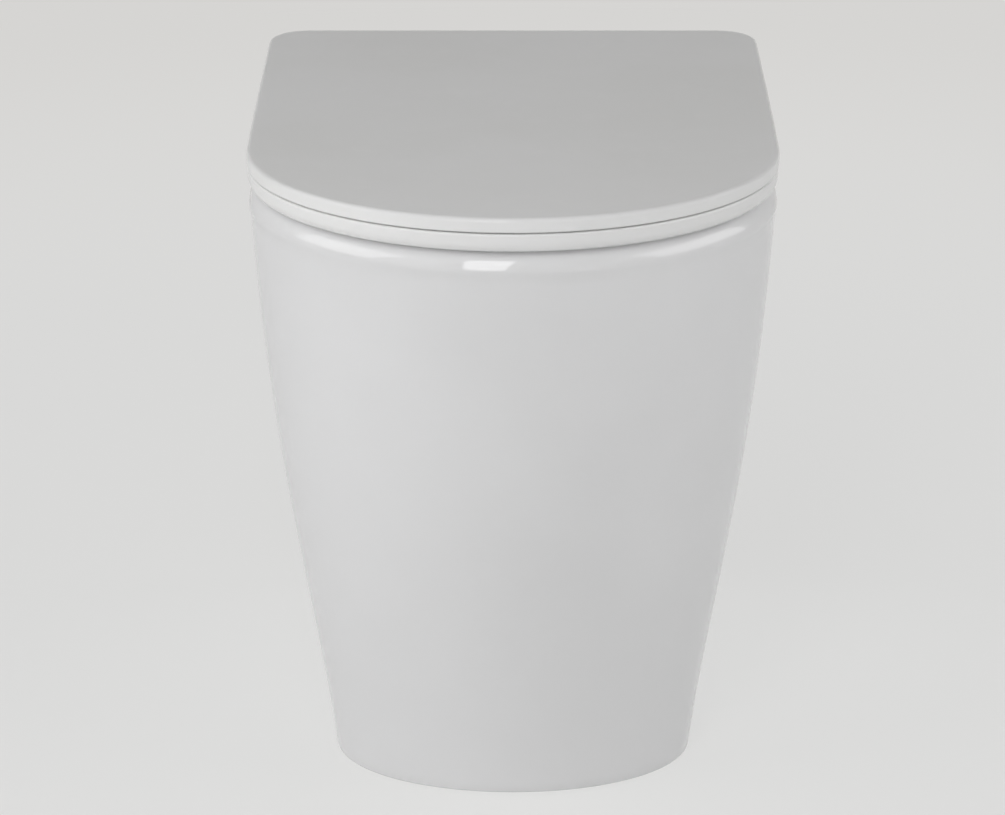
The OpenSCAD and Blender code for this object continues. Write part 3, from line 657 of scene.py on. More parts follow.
LID_W = LID_HIGH.x - LID_LOW.x
FRONT_Y = LID_LOW.y
HINGE_UP = 15*MM
AXIS_Y = FIXING_Y
AXIS_Z = RIM_H + HINGE_UP
CORNER_R = 28*MM
RING_INSET = 0.7*MM
RING_W = LID_W - 2*RING_INSET
RING_T = 13.7*MM
RING_Z = RING_LOW.z
RING_SET = 24*MM
RING_BACK_Y = AXIS_Y - RING_SET
RING_REAR = 91.3*MM
RING_SIDE = 62.3*MM
RING_FRONT = 66*MM
LID_GAP = MM
LID_Z = RING_Z + RING_T + LID_GAP
LID_T = 10*MM
LID_SET = 8*MM
LID_BACK_Y = AXIS_Y - LID_SET
LID_RECESS = 3*MM
LID_EDGE_R = 3*MM
HOLE_HALF = RING_W/2 - RING_SIDE
HOLE_FRONT_Y = FRONT_Y + RING_INSET + RING_FRONT
HOLE_BACK_Y = RING_BACK_Y - RING_REAR
HOLE_Y = (HOLE_FRONT_Y + HOLE_BACK_Y)/2
HOLE_REACH = (HOLE_BACK_Y - HOLE_FRONT_Y)/2

STUD_NECK = 3*MM
STUD_HEAD_TOP = 6.5*MM
STUD_HEAD_R = 4.9*MM
BARREL_R = 5.5*MM
BARREL_HALF = 23*MM
DAMPER_R = 4.1*MM
DAMPER_SEAT = 6*MM
EAR_R = 6*MM
EAR_W = 11*MM
EAR_X = BARREL_HALF + SIDE_GAP
EAR_EDGE = 0.5*MM
ARM_DROP = 0.4*MM
SHAFT_R = 2.5*MM
SHAFT_GAP = 0.05*MM
SHAFT_FLAT = 1.8*MM


def along_hinge(piece, side):
    """Lays what stands on Z along the hinge axis, with its zero in the middle of a barrel."""
    return place(piece, Matrix.Translation((side*FIXING_X, 0, 0)) @ along_x(AXIS_Y, AXIS_Z))


def lid_ring(inset, z):
    outline = d_outline(LID_W/2, FRONT_Y, RIM_NOSE, LID_BACK_Y, CORNER_R, inset)
    return at_height(outline, LID_Z + z)


def seat_outer(inset, z):
    outline = d_outline(RING_W/2, FRONT_Y + RING_INSET, RIM_NOSE - RING_INSET, RING_BACK_Y, CORNER_R, inset)
    return at_height(outline, RING_Z + z)


def seat_inner(grow, z):
    return at_height(oval(HOLE_HALF + grow, HOLE_Y, HOLE_REACH + grow, HOLE_REACH + grow), RING_Z + z)


def arc(r, start, end, steps):
    """Points round the origin between two angles in degrees."""
    angles = [radians(mix(start, end, i/steps)) for i in range(steps + 1)]
    return [(r*cos(a), r*sin(a)) for a in angles]


def ear(side, outer, outline):
    """An ear of the seat or the lid beside a hinge barrel, extruded across from its side outline."""
    low = side*FIXING_X + (EAR_X if (side > 0) == outer else -EAR_X - EAR_W)
    points = [(AXIS_Y + y, AXIS_Z + z) for y, z in outline]
    return prism("ear", points, low, low + EAR_W, "X", EAR_EDGE)


def ear_bore(side, outer):
    """The hole in an ear: round on a pin, flat on one side on a damper's shaft."""
    points = arc(SHAFT_R + SHAFT_GAP, 0, 360, 48)[:-1]
    if (side < 0) == outer:
        flat = SHAFT_FLAT + SHAFT_GAP
        points = [(y, max(z, -flat)) for y, z in points]
    points = [(AXIS_Y + y, AXIS_Z + z) for y, z in points]
    near, far = EAR_X - MM, EAR_X + EAR_W + MM
    inward = side*FIXING_X + (near if (side > 0) == outer else -far)
    return prism("ear_bore", points, inward, inward + far - near, "X")


def buffer_pockets(places, r, z, depth):
    """Round pockets on both sides of the middle, each up from a face at height z."""
    pockets = []
    for x, y in places:
        for side in (-1, 1):
            pocket = cylinder("pocket", r + SHAFT_GAP, z - MM, z + depth, 48)
            pockets.append(place(pocket, Matrix.Translation((side*x, y, 0))))
    return pockets


SIDE_BUFFER_X = RING_W/2 - RING_SIDE/2
REAR_BUFFER_Y = RING_BACK_Y - RING_REAR/2
SEAT_BUFFER_FORWARD = 30*MM
SEAT_BUFFER_BACK = 4*MM
SEAT_BUFFER_X = 108*MM
LID_BUFFER_FORWARD = 60*MM
LID_BUFFER_X = 97.2*MM
SEAT_BUFFERS = ((SIDE_BUFFER_X, HOLE_Y - SEAT_BUFFER_FORWARD),
    (SEAT_BUFFER_X, REAR_BUFFER_Y + SEAT_BUFFER_BACK))
LID_BUFFERS = ((SIDE_BUFFER_X, HOLE_Y - LID_BUFFER_FORWARD), (LID_BUFFER_X, REAR_BUFFER_Y))
SEAT_BUFFER_R = 8*MM
LID_BUFFER_R = 6*MM
SEAT_BUFFER_SEAT = 3*MM
LID_BUFFER_SEAT = 2*MM
BUFFER_GAP = 0.3*MM


def seat():
    """The ring: round below, crisp above, with an ear on the inner side of each hinge barrel."""
    low_r, top_r, inner_r, inner_low_r = 8*MM, 1.5*MM, 5*MM, 3*MM
    rings = [seat_outer(inset, up) for up, inset in round_edge(low_r, 12)]
    rings += [seat_outer(inset, RING_T - down) for inset, down in round_edge(top_r, 6)]
    rings += [seat_outer(top_r + MM, RING_T), seat_inner(inner_r + MM, RING_T)]
    rings += [seat_inner(grow, RING_T - down) for grow, down in reversed(round_edge(inner_r, 10))]
    rings += [seat_inner(grow, up) for grow, up in round_edge(inner_low_r, 6)]
    rings += [seat_inner(inner_low_r + MM, 0), seat_outer(low_r + MM, 0)]
    ring = skin("seat_moulding", rings, closed=True)
    arm_top = RING_Z + RING_T - AXIS_Z - ARM_DROP
    arm_low = arm_top - 8.6*MM
    arm_end, arm_root = -36*MM, -10*MM
    join, leave = 180 + degrees(asin(-arm_top/EAR_R)), -115
    outline = arc(EAR_R, join, leave, 40) + [(arm_root, arm_low), (arm_end, arm_low), (arm_end, arm_top)]
    for side in (-1, 1):
        carve(ring, ear(side, False, outline), "UNION")
    cutters = [ear_bore(side, False) for side in (-1, 1)]
    cutters += buffer_pockets(SEAT_BUFFERS, SEAT_BUFFER_R, RING_Z, SEAT_BUFFER_SEAT)
    return carve(ring, joined("cutters", cutters))


def lid():
    """The cover: a slab with a shallow recess below, and an ear on the outer side of each hinge barrel."""
    border, low_r = 14*MM, 1.5*MM
    edge = 1.2*MM
    rings = [lid_ring(border + LID_RECESS + MM, LID_RECESS), lid_ring(border + LID_RECESS, LID_RECESS)]
    rings += [lid_ring(border + edge, edge*0.4), lid_ring(border, 0), lid_ring(low_r + MM, 0)]
    rings += [lid_ring(inset, up) for up, inset in round_edge(low_r, 6)]
    rings += [lid_ring(inset, LID_T - down) for inset, down in round_edge(LID_EDGE_R, 10)]
    rings += [lid_ring(LID_EDGE_R + MM, LID_T)]
    cover = skin("lid_moulding", rings)
    arm_low = LID_Z - AXIS_Z + ARM_DROP
    arm_top = arm_low + 4.8*MM
    arm_end = -18*MM
    leave, join = 92, -180 - degrees(asin(arm_low/EAR_R))
    outline = arc(EAR_R, leave, join, 40) + [(arm_end, arm_low), (arm_end, arm_top)]
    for side in (-1, 1):
        carve(cover, ear(side, True, outline), "UNION")
    cutters = [ear_bore(side, True) for side in (-1, 1)]
    cutters += buffer_pockets(LID_BUFFERS, LID_BUFFER_R, LID_Z + LID_RECESS, LID_BUFFER_SEAT)
    return carve(cover, joined("cutters", cutters))


def hinge_base(side):
    """A round foot with a filleted hub, hollowed by the barrel that lies across it and by the stud's head."""
    r, t, hub_r, fillet, edge = 19*MM, 2*MM, 7.2*MM, 3.5*MM, 0.8*MM
    hub_h = HINGE_UP - 1.5*MM
    low_edge, crown = 0.3*MM, 0.02*MM
    profile = [(0, 0), (r - low_edge, 0), (r, low_edge)]
    profile += [(r - inset, t - down) for inset, down in round_edge(edge, 6)]
    profile += [(hub_r + fillet + 3*MM, t + crown)]
    profile += [(hub_r + out, t + up) for up, out in round_edge(fillet, 10)]
    profile += [(hub_r, hub_h - edge), (hub_r - edge, hub_h), (0, hub_h)]
    base = over_fixing(revolve("hinge_foot", profile), side)
    saddle = cylinder("saddle", BARREL_R + SHAFT_GAP, -BARREL_HALF, BARREL_HALF, 128)
    carve(base, along_hinge(saddle, side))
    hollow = cylinder("hollow", STUD_HEAD_R + 0.5*MM, -MM, STUD_HEAD_TOP, 64)
    return carve(base, over_fixing(hollow, side))


def hinge_barrel(side):
    """A turned barrel with a groove near each end and the release button's hole on top."""
    half, chamfer = BARREL_HALF, 0.6*MM
    groove_x, groove = half - 4*MM, 0.35*MM
    bore_r, damper_bore_r = SHAFT_R + SHAFT_GAP, DAMPER_R + SHAFT_GAP
    profile = [(damper_bore_r, -half), (BARREL_R - chamfer, -half), (BARREL_R, chamfer - half)]
    for x in (-groove_x, groove_x):
        profile += [(BARREL_R, x - groove), (BARREL_R - groove*0.7, x), (BARREL_R, x + groove)]
    profile += [(BARREL_R, half - chamfer), (BARREL_R - chamfer, half), (bore_r, half), (bore_r, DAMPER_SEAT),
        (damper_bore_r, DAMPER_SEAT)]
    barrel = along_hinge(revolve("barrel", profile), side)
    hole_r, mouth_r = 2.8*MM, 3.5*MM
    low, high, over = BARREL_R - 0.6*MM, BARREL_R + 0.2*MM, BARREL_R + MM
    hole = revolve("hole", [(0, 0), (hole_r, 0), (hole_r, low), (mouth_r, high), (mouth_r, over),
        (0, over)], 64)
    return carve(barrel, over_fixing(hole, side, AXIS_Z))


def release_button(side):
    """A domed button with a fine rim, held under its hole by a flange."""
    r, flange_r, flange_t, dome = 2.5*MM, 3.2*MM, MM, 0.5*MM
    flange_low, top = -0.838*MM, BARREL_R + 0.9*MM
    flange_top = flange_low + flange_t
    profile = [(0, flange_low), (flange_r, flange_low), (flange_r, flange_top), (r, flange_top)]
    profile += [(r*cos(a), top - dome + dome*sin(a)) for a in quarter(12)][:-1] + [(0, top)]
    return over_fixing(revolve("button", profile, 64), side, AXIS_Z)


# The pieces that hold the pan to the floor and the hinges to its deck

SCREW_HEAD_R = 6*MM
SCREW_HEAD_T = 3*MM
SCREW_LEN = 28*MM
BRACKET_W = 30*MM
BRACKET_T = 5*MM
BRACKET_WEB = 8*MM
BRACKET_FOOT = 42*MM
BRACKET_ROOT = 8*MM
BRACKET_GAP = 0.8*MM
BRACKET_ABOVE = 12*MM
BRACKET_X = FOOT_W/2*SIDE_TAPER - SKIRT_T - BRACKET_GAP
BRACKET_LEAN = (SIDE_X - FOOT_W/2*SIDE_TAPER)/SIDE_FIXING_Z
ANCHOR_EDGE = 12*MM
ANCHOR_X = BRACKET_X - BRACKET_FOOT + ANCHOR_EDGE
ANCHOR_R = 4*MM
STUD_R = 4*MM
STUD_TAIL = 4*MM
SLEEVE_LEN = 34*MM
WASHER_T = 1.6*MM
NUT_T = 6.5*MM
THREAD_PITCH = 1.25*MM
THREAD_DEPTH = 0.55*MM


def thread(r, low, high):
    """A threaded bar along Z, with its ends run out to the root of the thread."""
    steps, rows_a_turn = 32, 8
    rows = round((high - low)/THREAD_PITCH*rows_a_turn)
    rings = []
    for i in range(rows + 1):
        z = mix(low, high, i/rows)
        full = min(1, (z - low)/THREAD_PITCH, (high - z)/THREAD_PITCH)
        ring = []
        for j in range(steps):
            turn = (z/THREAD_PITCH - j/steps) % 1
            reach = r - THREAD_DEPTH*(1 - full*abs(2*turn - 1))
            ring.append(Vector((reach*cos(2*pi*j/steps), reach*sin(2*pi*j/steps), z)))
        rings.append(ring)
    return skin("thread", rings)


def stud():
    """A stud that is threaded below the deck, with a socket head that the hinge foot clips on."""
    low = -SLEEVE_LEN - WASHER_T - NUT_T - STUD_TAIL
    thread_top, root, edge = -8*MM, -8.5*MM, 0.6*MM
    bar = thread(STUD_R, low, thread_top)
    head = revolve("stud_head", rounded([(0, root), (STUD_R, root), (STUD_R, STUD_NECK),
        (STUD_HEAD_R, STUD_NECK), (STUD_HEAD_R, STUD_HEAD_TOP), (0, STUD_HEAD_TOP)], edge), 64)
    carve(head, cylinder("socket", 2.5*MM, STUD_NECK + MM, STUD_HEAD_TOP + MM, 6))
    return over_fixing(joined("stud", [bar, head]))


def sleeve():
    """A rubber sleeve with round ribs and four slots, which the nut squeezes until it grips the hole."""
    outer, inner, ribs, rows_a_rib = FIXING_HOLE_R - SHAFT_GAP, STUD_R + SHAFT_GAP, 8, 8
    groove, slot_w = 0.9*MM, MM
    pitch = SLEEVE_LEN/ribs
    profile = [(inner, -SLEEVE_LEN), (outer - 1.2*MM, -SLEEVE_LEN)]
    for i in range(ribs):
        for j in range(rows_a_rib):
            t = (j + 0.5)/rows_a_rib
            profile.append((outer - groove*abs(cos(pi*t)), -SLEEVE_LEN + pitch*(i + t)))
    profile += [(outer - 0.6*MM, 0), (inner, 0)]
    body = revolve("sleeve", profile, 64)
    slot_top = SLEEVE_LEN*0.55 - SLEEVE_LEN
    for x, y in ((slot_w/2, 2*outer), (2*outer, slot_w/2)):
        carve(body, block("slot", (-x, -y, -SLEEVE_LEN - MM), (x, y, slot_top)))
    return over_fixing(body)


def washer():
    """A flat washer with its edges broken."""
    outer, inner, edge = FIXING_HOLE_R - 0.5*MM, STUD_R + SHAFT_GAP, 0.35*MM
    low, top = -SLEEVE_LEN - WASHER_T, -SLEEVE_LEN
    return over_fixing(revolve("washer", [(inner + edge, low), (outer - edge, low), (outer, low + edge),
        (outer, top - edge), (outer - edge, top), (inner + edge, top), (inner, top - edge),
        (inner, low + edge)], 64))


def nut():
    """A hexagon nut, chamfered on both faces."""
    r, bore, top = 7.3*MM, STUD_R + SHAFT_GAP, -SLEEVE_LEN - WASHER_T
    low, chamfer, lead = top - NUT_T, 0.5*MM, 1.5*MM
    body = cylinder("nut", r, low, top, 6)
    turned = revolve("turned", [(0, low), (r - 2*chamfer, low), (r, low + chamfer), (r, top - chamfer),
        (r - 2*chamfer, top), (0, top)], 64)
    carve(body, turned, "INTERSECT")
    hole = revolve("hole", [(0, low - MM), (bore + lead, low - MM), (bore, low + chamfer),
        (bore, top - chamfer), (bore + lead, top + MM), (0, top + MM)], 64)
    return over_fixing(carve(body, hole))


def side_screw():
    """A screw through the skirt, with a low round head and a hexagon socket."""
    thread_top, root = -6*MM, -6.5*MM
    bar = thread(SCREW_R, -SCREW_LEN, thread_top)
    top = revolve("screw_head", rounded([(0, root), (SCREW_R, root), (SCREW_R, 0), (SCREW_HEAD_R, 0),
        (SCREW_HEAD_R, SCREW_HEAD_T*0.5), (SCREW_HEAD_R*0.72, SCREW_HEAD_T), (0, SCREW_HEAD_T)], MM), 64)
    carve(top, cylinder("socket", 2*MM, MM, 2*SCREW_HEAD_T, 6))
    return on_cap_seat(joined("side_screw", [bar, top]))


def side_cap():
    """A domed cap that clips over the screw head: hollow, with a fine step where its rim begins."""
    inner_r, inner_h, rim, dome = SCREW_HEAD_R + MM, SCREW_HEAD_T + 0.4*MM, CAP_SEAT + 0.4*MM, 1.2*MM
    step, step_h = 0.25*MM, rim - MM
    profile = [(0, inner_h), (inner_r, inner_h), (inner_r, 0), (CAP_R - step, 0), (CAP_R, step),
        (CAP_R, step_h), (CAP_R - step, step_h + step), (CAP_R - step, rim)]
    profile += [((CAP_R - step)*cos(a), rim + dome*sin(a)) for a in quarter(14)][1:-1] + [(0, rim + dome)]
    return on_cap_seat(revolve("side_cap", profile))


def floor_bracket():
    """A moulded angle with two gussets, a countersunk anchor hole in its foot and a screw hole in its web."""
    high = SIDE_FIXING_Z + BRACKET_ABOVE
    low_y, high_y = SIDE_FIXING_Y - BRACKET_W/2, SIDE_FIXING_Y + BRACKET_W/2
    toe, root = BRACKET_X - BRACKET_FOOT, BRACKET_X - BRACKET_WEB
    top = BRACKET_X + BRACKET_LEAN*high
    outline = [(toe, 0), (BRACKET_X, 0), (top, high), (top - BRACKET_WEB, high),
        (root, BRACKET_T + BRACKET_ROOT), (root - BRACKET_ROOT, BRACKET_T), (toe, BRACKET_T)]
    bracket = prism("floor_bracket", outline, low_y, high_y, edge=0.8*MM)
    rib_t, rib_foot, rib_top, rib_h = 3*MM, 15*MM, MM, 26*MM
    gusset = [(root - rib_foot, BRACKET_T - MM), (root + 3*MM, BRACKET_T - MM),
        (root + 4*MM, BRACKET_T + rib_h), (root + rib_top, BRACKET_T + rib_h)]
    for y in (low_y, high_y - rib_t):
        carve(bracket, prism("gusset", gusset, y, y + rib_t, edge=0.4*MM), "UNION")
    sink = 3*MM
    hole = revolve("anchor_hole", [(0, -MM), (ANCHOR_R, -MM), (ANCHOR_R, BRACKET_T + MM - sink),
        (ANCHOR_R + sink, BRACKET_T + MM), (0, BRACKET_T + MM)], 64)
    carve(bracket, place(hole, Matrix.Translation((ANCHOR_X, SIDE_FIXING_Y, 0))))
    bore = cylinder("screw_hole", SCREW_R + SHAFT_GAP, SIDE_X - 3*SKIRT_T, SIDE_X, 48)
    return carve(bracket, place(bore, along_x(SIDE_FIXING_Y, SIDE_FIXING_Z)))


def inlet_seal():
    """A rubber cone seal: round ribs outside against the horn, fins inside against the pipe, and a lip."""
    inner, outer, lip_r, lip_t, length = 22.05*MM, INLET_R - SHAFT_GAP, INLET_R + 4*MM, 3*MM, 24*MM
    end = WALL_Y - INLET_BACK
    start, ribs, rows_a_rib, fins = end - length, 5, 8, 4
    groove, edge = 1.3*MM, 0.8*MM
    rows = ribs*rows_a_rib
    profile = [(inner + 1.2*MM, start), (outer - 1.5*MM, start)]
    for i in range(rows):
        depth = groove*abs(cos(pi*(i + 0.5)/rows_a_rib))
        profile.append((outer - depth, start + length*(i + 0.5)/(rows + 1)))
    profile += [(outer, end - 0.2*MM), (lip_r - edge, end), (lip_r, end + edge), (lip_r, end + lip_t - edge),
        (lip_r - edge, end + lip_t), (inner + 2*MM, end + lip_t), (inner + MM, end + lip_t - MM)]
    reach = length + lip_t - 4*MM
    fin = ((1.6*MM, 0), (0, 1.6*MM), (0.3*MM, 2.2*MM), (1.6*MM, 2.6*MM))
    for i in range(fins):
        y = end + lip_t - 2*MM - reach*i/fins
        profile += [(inner + grow, y - back) for grow, back in fin]
    return place(revolve("inlet_seal", profile, 128), along_y(0, INLET_H))


# The pieces inside the hinges, and the buffers

def hinge_pin(side):
    """A plain pin with chamfered ends and a fine groove near its outer one."""
    low, high, chamfer = DAMPER_SEAT, EAR_X + EAR_W, 0.5*MM
    at, groove, depth = high - 2.2*MM, 0.3*MM, 0.25*MM
    return along_hinge(revolve("hinge_pin", [(0, low), (SHAFT_R - chamfer, low), (SHAFT_R, low + chamfer),
        (SHAFT_R, at - groove), (SHAFT_R - depth, at), (SHAFT_R, at + groove), (SHAFT_R, high - chamfer),
        (SHAFT_R - chamfer, high), (0, high)], 64), side)


def damper(side):
    """A soft-close cartridge: a ribbed barrel with a chamfered mouth."""
    low, high, bore = -BARREL_HALF + SIDE_GAP, -DAMPER_SEAT, SHAFT_R + SHAFT_GAP
    edge, end_t, rib = 0.4*MM, 2*MM, 0.15*MM
    profile = [(0, high - end_t), (bore, high - end_t), (bore, low + edge), (bore + edge, low),
        (DAMPER_R - edge, low), (DAMPER_R, low + edge)]
    for z in (low + 3*MM, low + 5*MM, low + 7*MM):
        profile += [(DAMPER_R, z), (DAMPER_R - rib, z + 0.2*MM), (DAMPER_R - rib, z + 0.8*MM),
            (DAMPER_R, z + MM)]
    profile += [(DAMPER_R, high - edge), (DAMPER_R - edge, high), (0, high)]
    return along_hinge(revolve("damper", profile, 64), side)


def damper_shaft(side):
    """The cartridge's shaft, flat on one side where the ear holds it."""
    low, shoulder, high, edge = -EAR_X - EAR_W, -EAR_X + 0.5*MM, -10*MM, 0.3*MM
    shaft = revolve("shaft", [(0, low), (SHAFT_R - edge, low), (SHAFT_R, low + edge), (SHAFT_R, high - edge),
        (SHAFT_R - edge, high), (0, high)], 64)
    carve(shaft, block("flat", (SHAFT_FLAT, -2*SHAFT_R, low - MM), (3*SHAFT_R, 2*SHAFT_R, shoulder)))
    return along_hinge(shaft, side)


def buffers(name, places, r, low, high):
    """Soft round feet with a raised rim and a shallow dish below."""
    rim, edge, dish = 1.6*MM, 0.6*MM, 0.35*MM
    rim_r = r - rim
    pieces = []
    for x, y in places:
        for side in (-1, 1):
            foot = revolve("foot", [(0, low + dish), (rim_r - edge, low + dish), (rim_r, low + 0.1*MM),
                (rim_r + 0.4*MM, low), (r - edge, low), (r - edge*0.3, low + edge*0.3), (r, low + edge),
                (r, high), (0, high)], 64)
            pieces.append(place(foot, Matrix.Translation((side*x, y, 0))))
    return joined(name, pieces)


# Shaders: sums of node outputs are written as Python sums

def tint(r, g, b):
    """A colour given as it shows on a screen, in parts of 255."""
    def linear(v):
        v /= 255
        return v/12.92 if v <= 0.04045 else ((v + 0.055)/1.055)**2.4
    return (linear(r), linear(g), linear(b), 1)


class Tap:
    """One output of a shader node. Arithmetic on it adds Math nodes; colours go through blend()."""

    def __init__(self, net, socket):
        self.net = net
        self.socket = socket

    def math(self, operation, *values):
        return self.net.node("ShaderNodeMath", {"operation": operation}, dict(enumerate(values)))

    def __add__(self, other):
        return self.math("ADD", self, other)

    def __radd__(self, other):
        return self.math("ADD", other, self)

    def __sub__(self, other):
        return self.math("SUBTRACT", self, other)

    def __rsub__(self, other):
        return self.math("SUBTRACT", other, self)

    def __mul__(self, other):
        return self.math("MULTIPLY", self, other)

    def __rmul__(self, other):
        return self.math("MULTIPLY", other, self)

    def step(self, low, high):
        """0 below low, 1 above high and an eased rise between."""
        return self.net.node("ShaderNodeMapRange", {"interpolation_type": "SMOOTHSTEP"},
            {"Value": self, "From Min": low, "From Max": high})


class Net:
    """A node tree that is built by calls."""

    def __init__(self, tree):
        self.tree = tree
        tree.nodes.clear()

    def node(self, kind, settings=None, inputs=None, output=0):
        """Adds a node: its settings first, then the values or links of its inputs."""
        node = self.tree.nodes.new(kind)
        for key, value in (settings or {}).items():
            setattr(node, key, value)
        for key, value in (inputs or {}).items():
            if isinstance(value, Tap):
                self.tree.links.new(value.socket, node.inputs[key])
            else:
                node.inputs[key].default_value = value
        return Tap(self, node.outputs[output]) if node.outputs else None

    def noise(self, scale, detail=2.0, rough=0.5, stretch=None):
        where = self.node("ShaderNodeTexCoord", output="Object")
        if stretch:
            where = self.node("ShaderNodeVectorMath", {"operation": "MULTIPLY"}, {0: where, 1: stretch})
        return self.node("ShaderNodeTexNoise", None,
            {"Vector": where, "Scale": scale, "Detail": detail, "Roughness": rough})

    def place(self, axis):
        where = self.node("ShaderNodeTexCoord", output="Object")
        return self.node("ShaderNodeSeparateXYZ", None, {0: where}, axis)

    def blend(self, share, low, high):
        return self.node("ShaderNodeMix", {"data_type": "RGBA"}, {0: share, 6: low, 7: high}, 2)

    def bump(self, height):
        """A bump whose height is in metres."""
        return self.node("ShaderNodeBump", None, {"Height": height, "Distance": 1.0, "Strength": 1.0})


class Finish(Net):
    """A material of one principled shader. Constants are set on its sockets. What varies is fed to them."""

    def __init__(self, name, constants):
        self.material = bpy.data.materials.new(name)
        self.material.use_nodes = True
        super().__init__(self.material.node_tree)
        shader = self.node("ShaderNodeBsdfPrincipled", None, constants)
        self.shader = shader.socket.node
        self.node("ShaderNodeOutputMaterial", None, {"Surface": shader})

    def feed(self, **taps):
        for name, tap in taps.items():
            self.tree.links.new(tap.socket, self.shader.inputs[name.replace("_", " ")])
        return self.material


GLAZE = tint(238, 238, 239)
GLAZE_DEEP = tint(234, 234, 235)
BISCUIT = tint(226, 220, 208)
RESIN = tint(246, 246, 246)
RESIN_DEEP = tint(242, 242, 241)
BACKDROP = tint(214, 213, 211)


def glaze():
    """Vitreous china under a clear glaze: a slow swell from the pour, and the glaze's own fine skin."""
    f = Finish("glaze", {"IOR": 1.85})
    mottle = f.noise(4.5, 3).step(0.35, 0.65)
    swell, grain = f.noise(16, 1.5), f.noise(420, 2)
    height = swell*0.00010 + grain*0.0000016
    return f.feed(Base_Color=f.blend(mottle, GLAZE, GLAZE_DEEP), Roughness=0.025 + f.noise(7, 2)*0.03,
        Normal=f.bump(height))


def biscuit():
    """Fired clay left bare inside the casting, with thin overspray that thickens upwards."""
    f = Finish("biscuit", {"IOR": 1.5})
    grain = f.noise(900, 4, 0.65)
    spray = (f.noise(26, 4, 0.6) + f.place(2)*0.6).step(0.45, 0.8)
    rough = 0.86 - spray*0.42
    speckle = f.noise(2300, 1).step(0.68, 0.78)
    colour = f.blend(spray, BISCUIT, tint(236, 235, 232))
    colour = f.blend(speckle*0.35, colour, tint(176, 164, 146))
    return f.feed(Base_Color=colour, Roughness=rough, Normal=f.bump(grain*0.00016 + f.noise(60, 2)*0.0003))


def resin():
    """Pressed thermoset: hard, nearly flat, with the faint orange peel of the polished tool."""
    f = Finish("seat_white", {"IOR": 1.45, "Specular IOR Level": 0.4})
    peel = f.noise(260, 1.5)
    cloud = f.noise(6, 3).step(0.3, 0.7)
    rub = f.noise(38, 4, 0.62).step(0.5, 0.9)
    return f.feed(Base_Color=f.blend(cloud, RESIN, RESIN_DEEP), Roughness=0.2 + rub*0.09,
        Normal=f.bump(peel*0.0000030 + f.noise(9, 1)*0.00003))


def cap_plastic():
    f = Finish("white_cap", {"IOR": 1.49})
    return f.feed(Base_Color=f.blend(f.noise(90, 2), tint(236, 236, 236), tint(230, 230, 229)),
        Roughness=0.16 + f.noise(300, 3)*0.1, Normal=f.bump(f.noise(700, 2)*0.000002))


def chrome():
    """Bright plate with faint wipe marks."""
    f = Finish("chrome", {"Metallic": 1.0})
    wipe = f.noise(70, 4, 0.6, (1, 1, 4)).step(0.42, 0.75)
    return f.feed(Base_Color=f.blend(wipe, tint(232, 233, 236), tint(222, 224, 227)),
        Roughness=0.05 + wipe*0.09, Normal=f.bump(f.noise(120, 2)*0.000004))


def stainless():
    """Turned steel: fine rings and a softer shine."""
    f = Finish("stainless", {"Metallic": 1.0})
    turned = f.noise(2400, 3, 0.6)
    stain = f.noise(120, 4, 0.6).step(0.4, 0.8)
    return f.feed(Base_Color=f.blend(stain, tint(205, 204, 201), tint(186, 184, 179)),
        Roughness=0.24 + turned*0.16, Normal=f.bump(turned*0.000012))


def rubber():
    f = Finish("rubber", {"IOR": 1.45})
    bloom = f.noise(150, 5, 0.65).step(0.45, 0.85)
    return f.feed(Base_Color=f.blend(bloom, tint(38, 38, 39), tint(66, 65, 63)), Roughness=0.55 + bloom*0.25,
        Normal=f.bump(f.noise(1500, 3)*0.00003))


def soft_buffer():
    f = Finish("buffer", {"IOR": 1.43, "Subsurface Weight": 0.2, "Subsurface Scale": 0.002})
    return f.feed(Base_Color=f.blend(f.noise(500, 3), tint(222, 221, 215), tint(208, 206, 198)),
        Roughness=0.42 + f.noise(240, 3)*0.2, Normal=f.bump(f.noise(1600, 2)*0.000012))


def nylon():
    f = Finish("nylon", {"IOR": 1.53})
    flow = f.noise(45, 3, 0.6, (1, 3, 1))
    return f.feed(Base_Color=f.blend(flow.step(0.3, 0.7), tint(226, 222, 210), tint(214, 209, 195)),
        Roughness=0.45 + flow*0.16, Normal=f.bump(f.noise(900, 4)*0.00003))


def damper_plastic():
    f = Finish("damper_plastic", {"IOR": 1.5})
    return f.feed(Base_Color=f.blend(f.noise(200, 3), tint(118, 119, 121), tint(104, 105, 107)),
        Roughness=0.42 + f.noise(700, 3)*0.2, Normal=f.bump(f.noise(1200, 3)*0.000014))


FINISHES = {"glaze": glaze(), "seat_white": resin(), "white_cap": cap_plastic(), "chrome": chrome(),
    "stainless": stainless(), "rubber": rubber(), "buffer": soft_buffer(), "nylon": nylon(),
    "damper_plastic": damper_plastic()}
SLOT_OF = {part["node"]: part["material_slot"] for part in frame["record"]["subparts"]}
BODY_OF = {node: body for body, nodes in frame["record"]["behaviour"]["bodies"].items() for node in nodes}


def stand_for(piece, node, *more_finishes):
    """Lets a piece take the place, body and finish of a node of the frame."""
    finishes = (FINISHES[SLOT_OF[node]], *more_finishes)
    slots = piece.data.materials
    for i, finish in enumerate(finishes):
        if i < len(slots):
            slots[i] = finish
        else:
            slots.append(finish)
    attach(piece, BODY_OF[node])
    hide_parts(node)


def finish_node(node, piece, *more_finishes, angle=30):
    """Smooths a piece, except at edges sharper than the angle, and lets it stand for its node."""
    piece.name = node + "_finished"
    stand_for(smooth(piece, angle), node, *more_finishes)


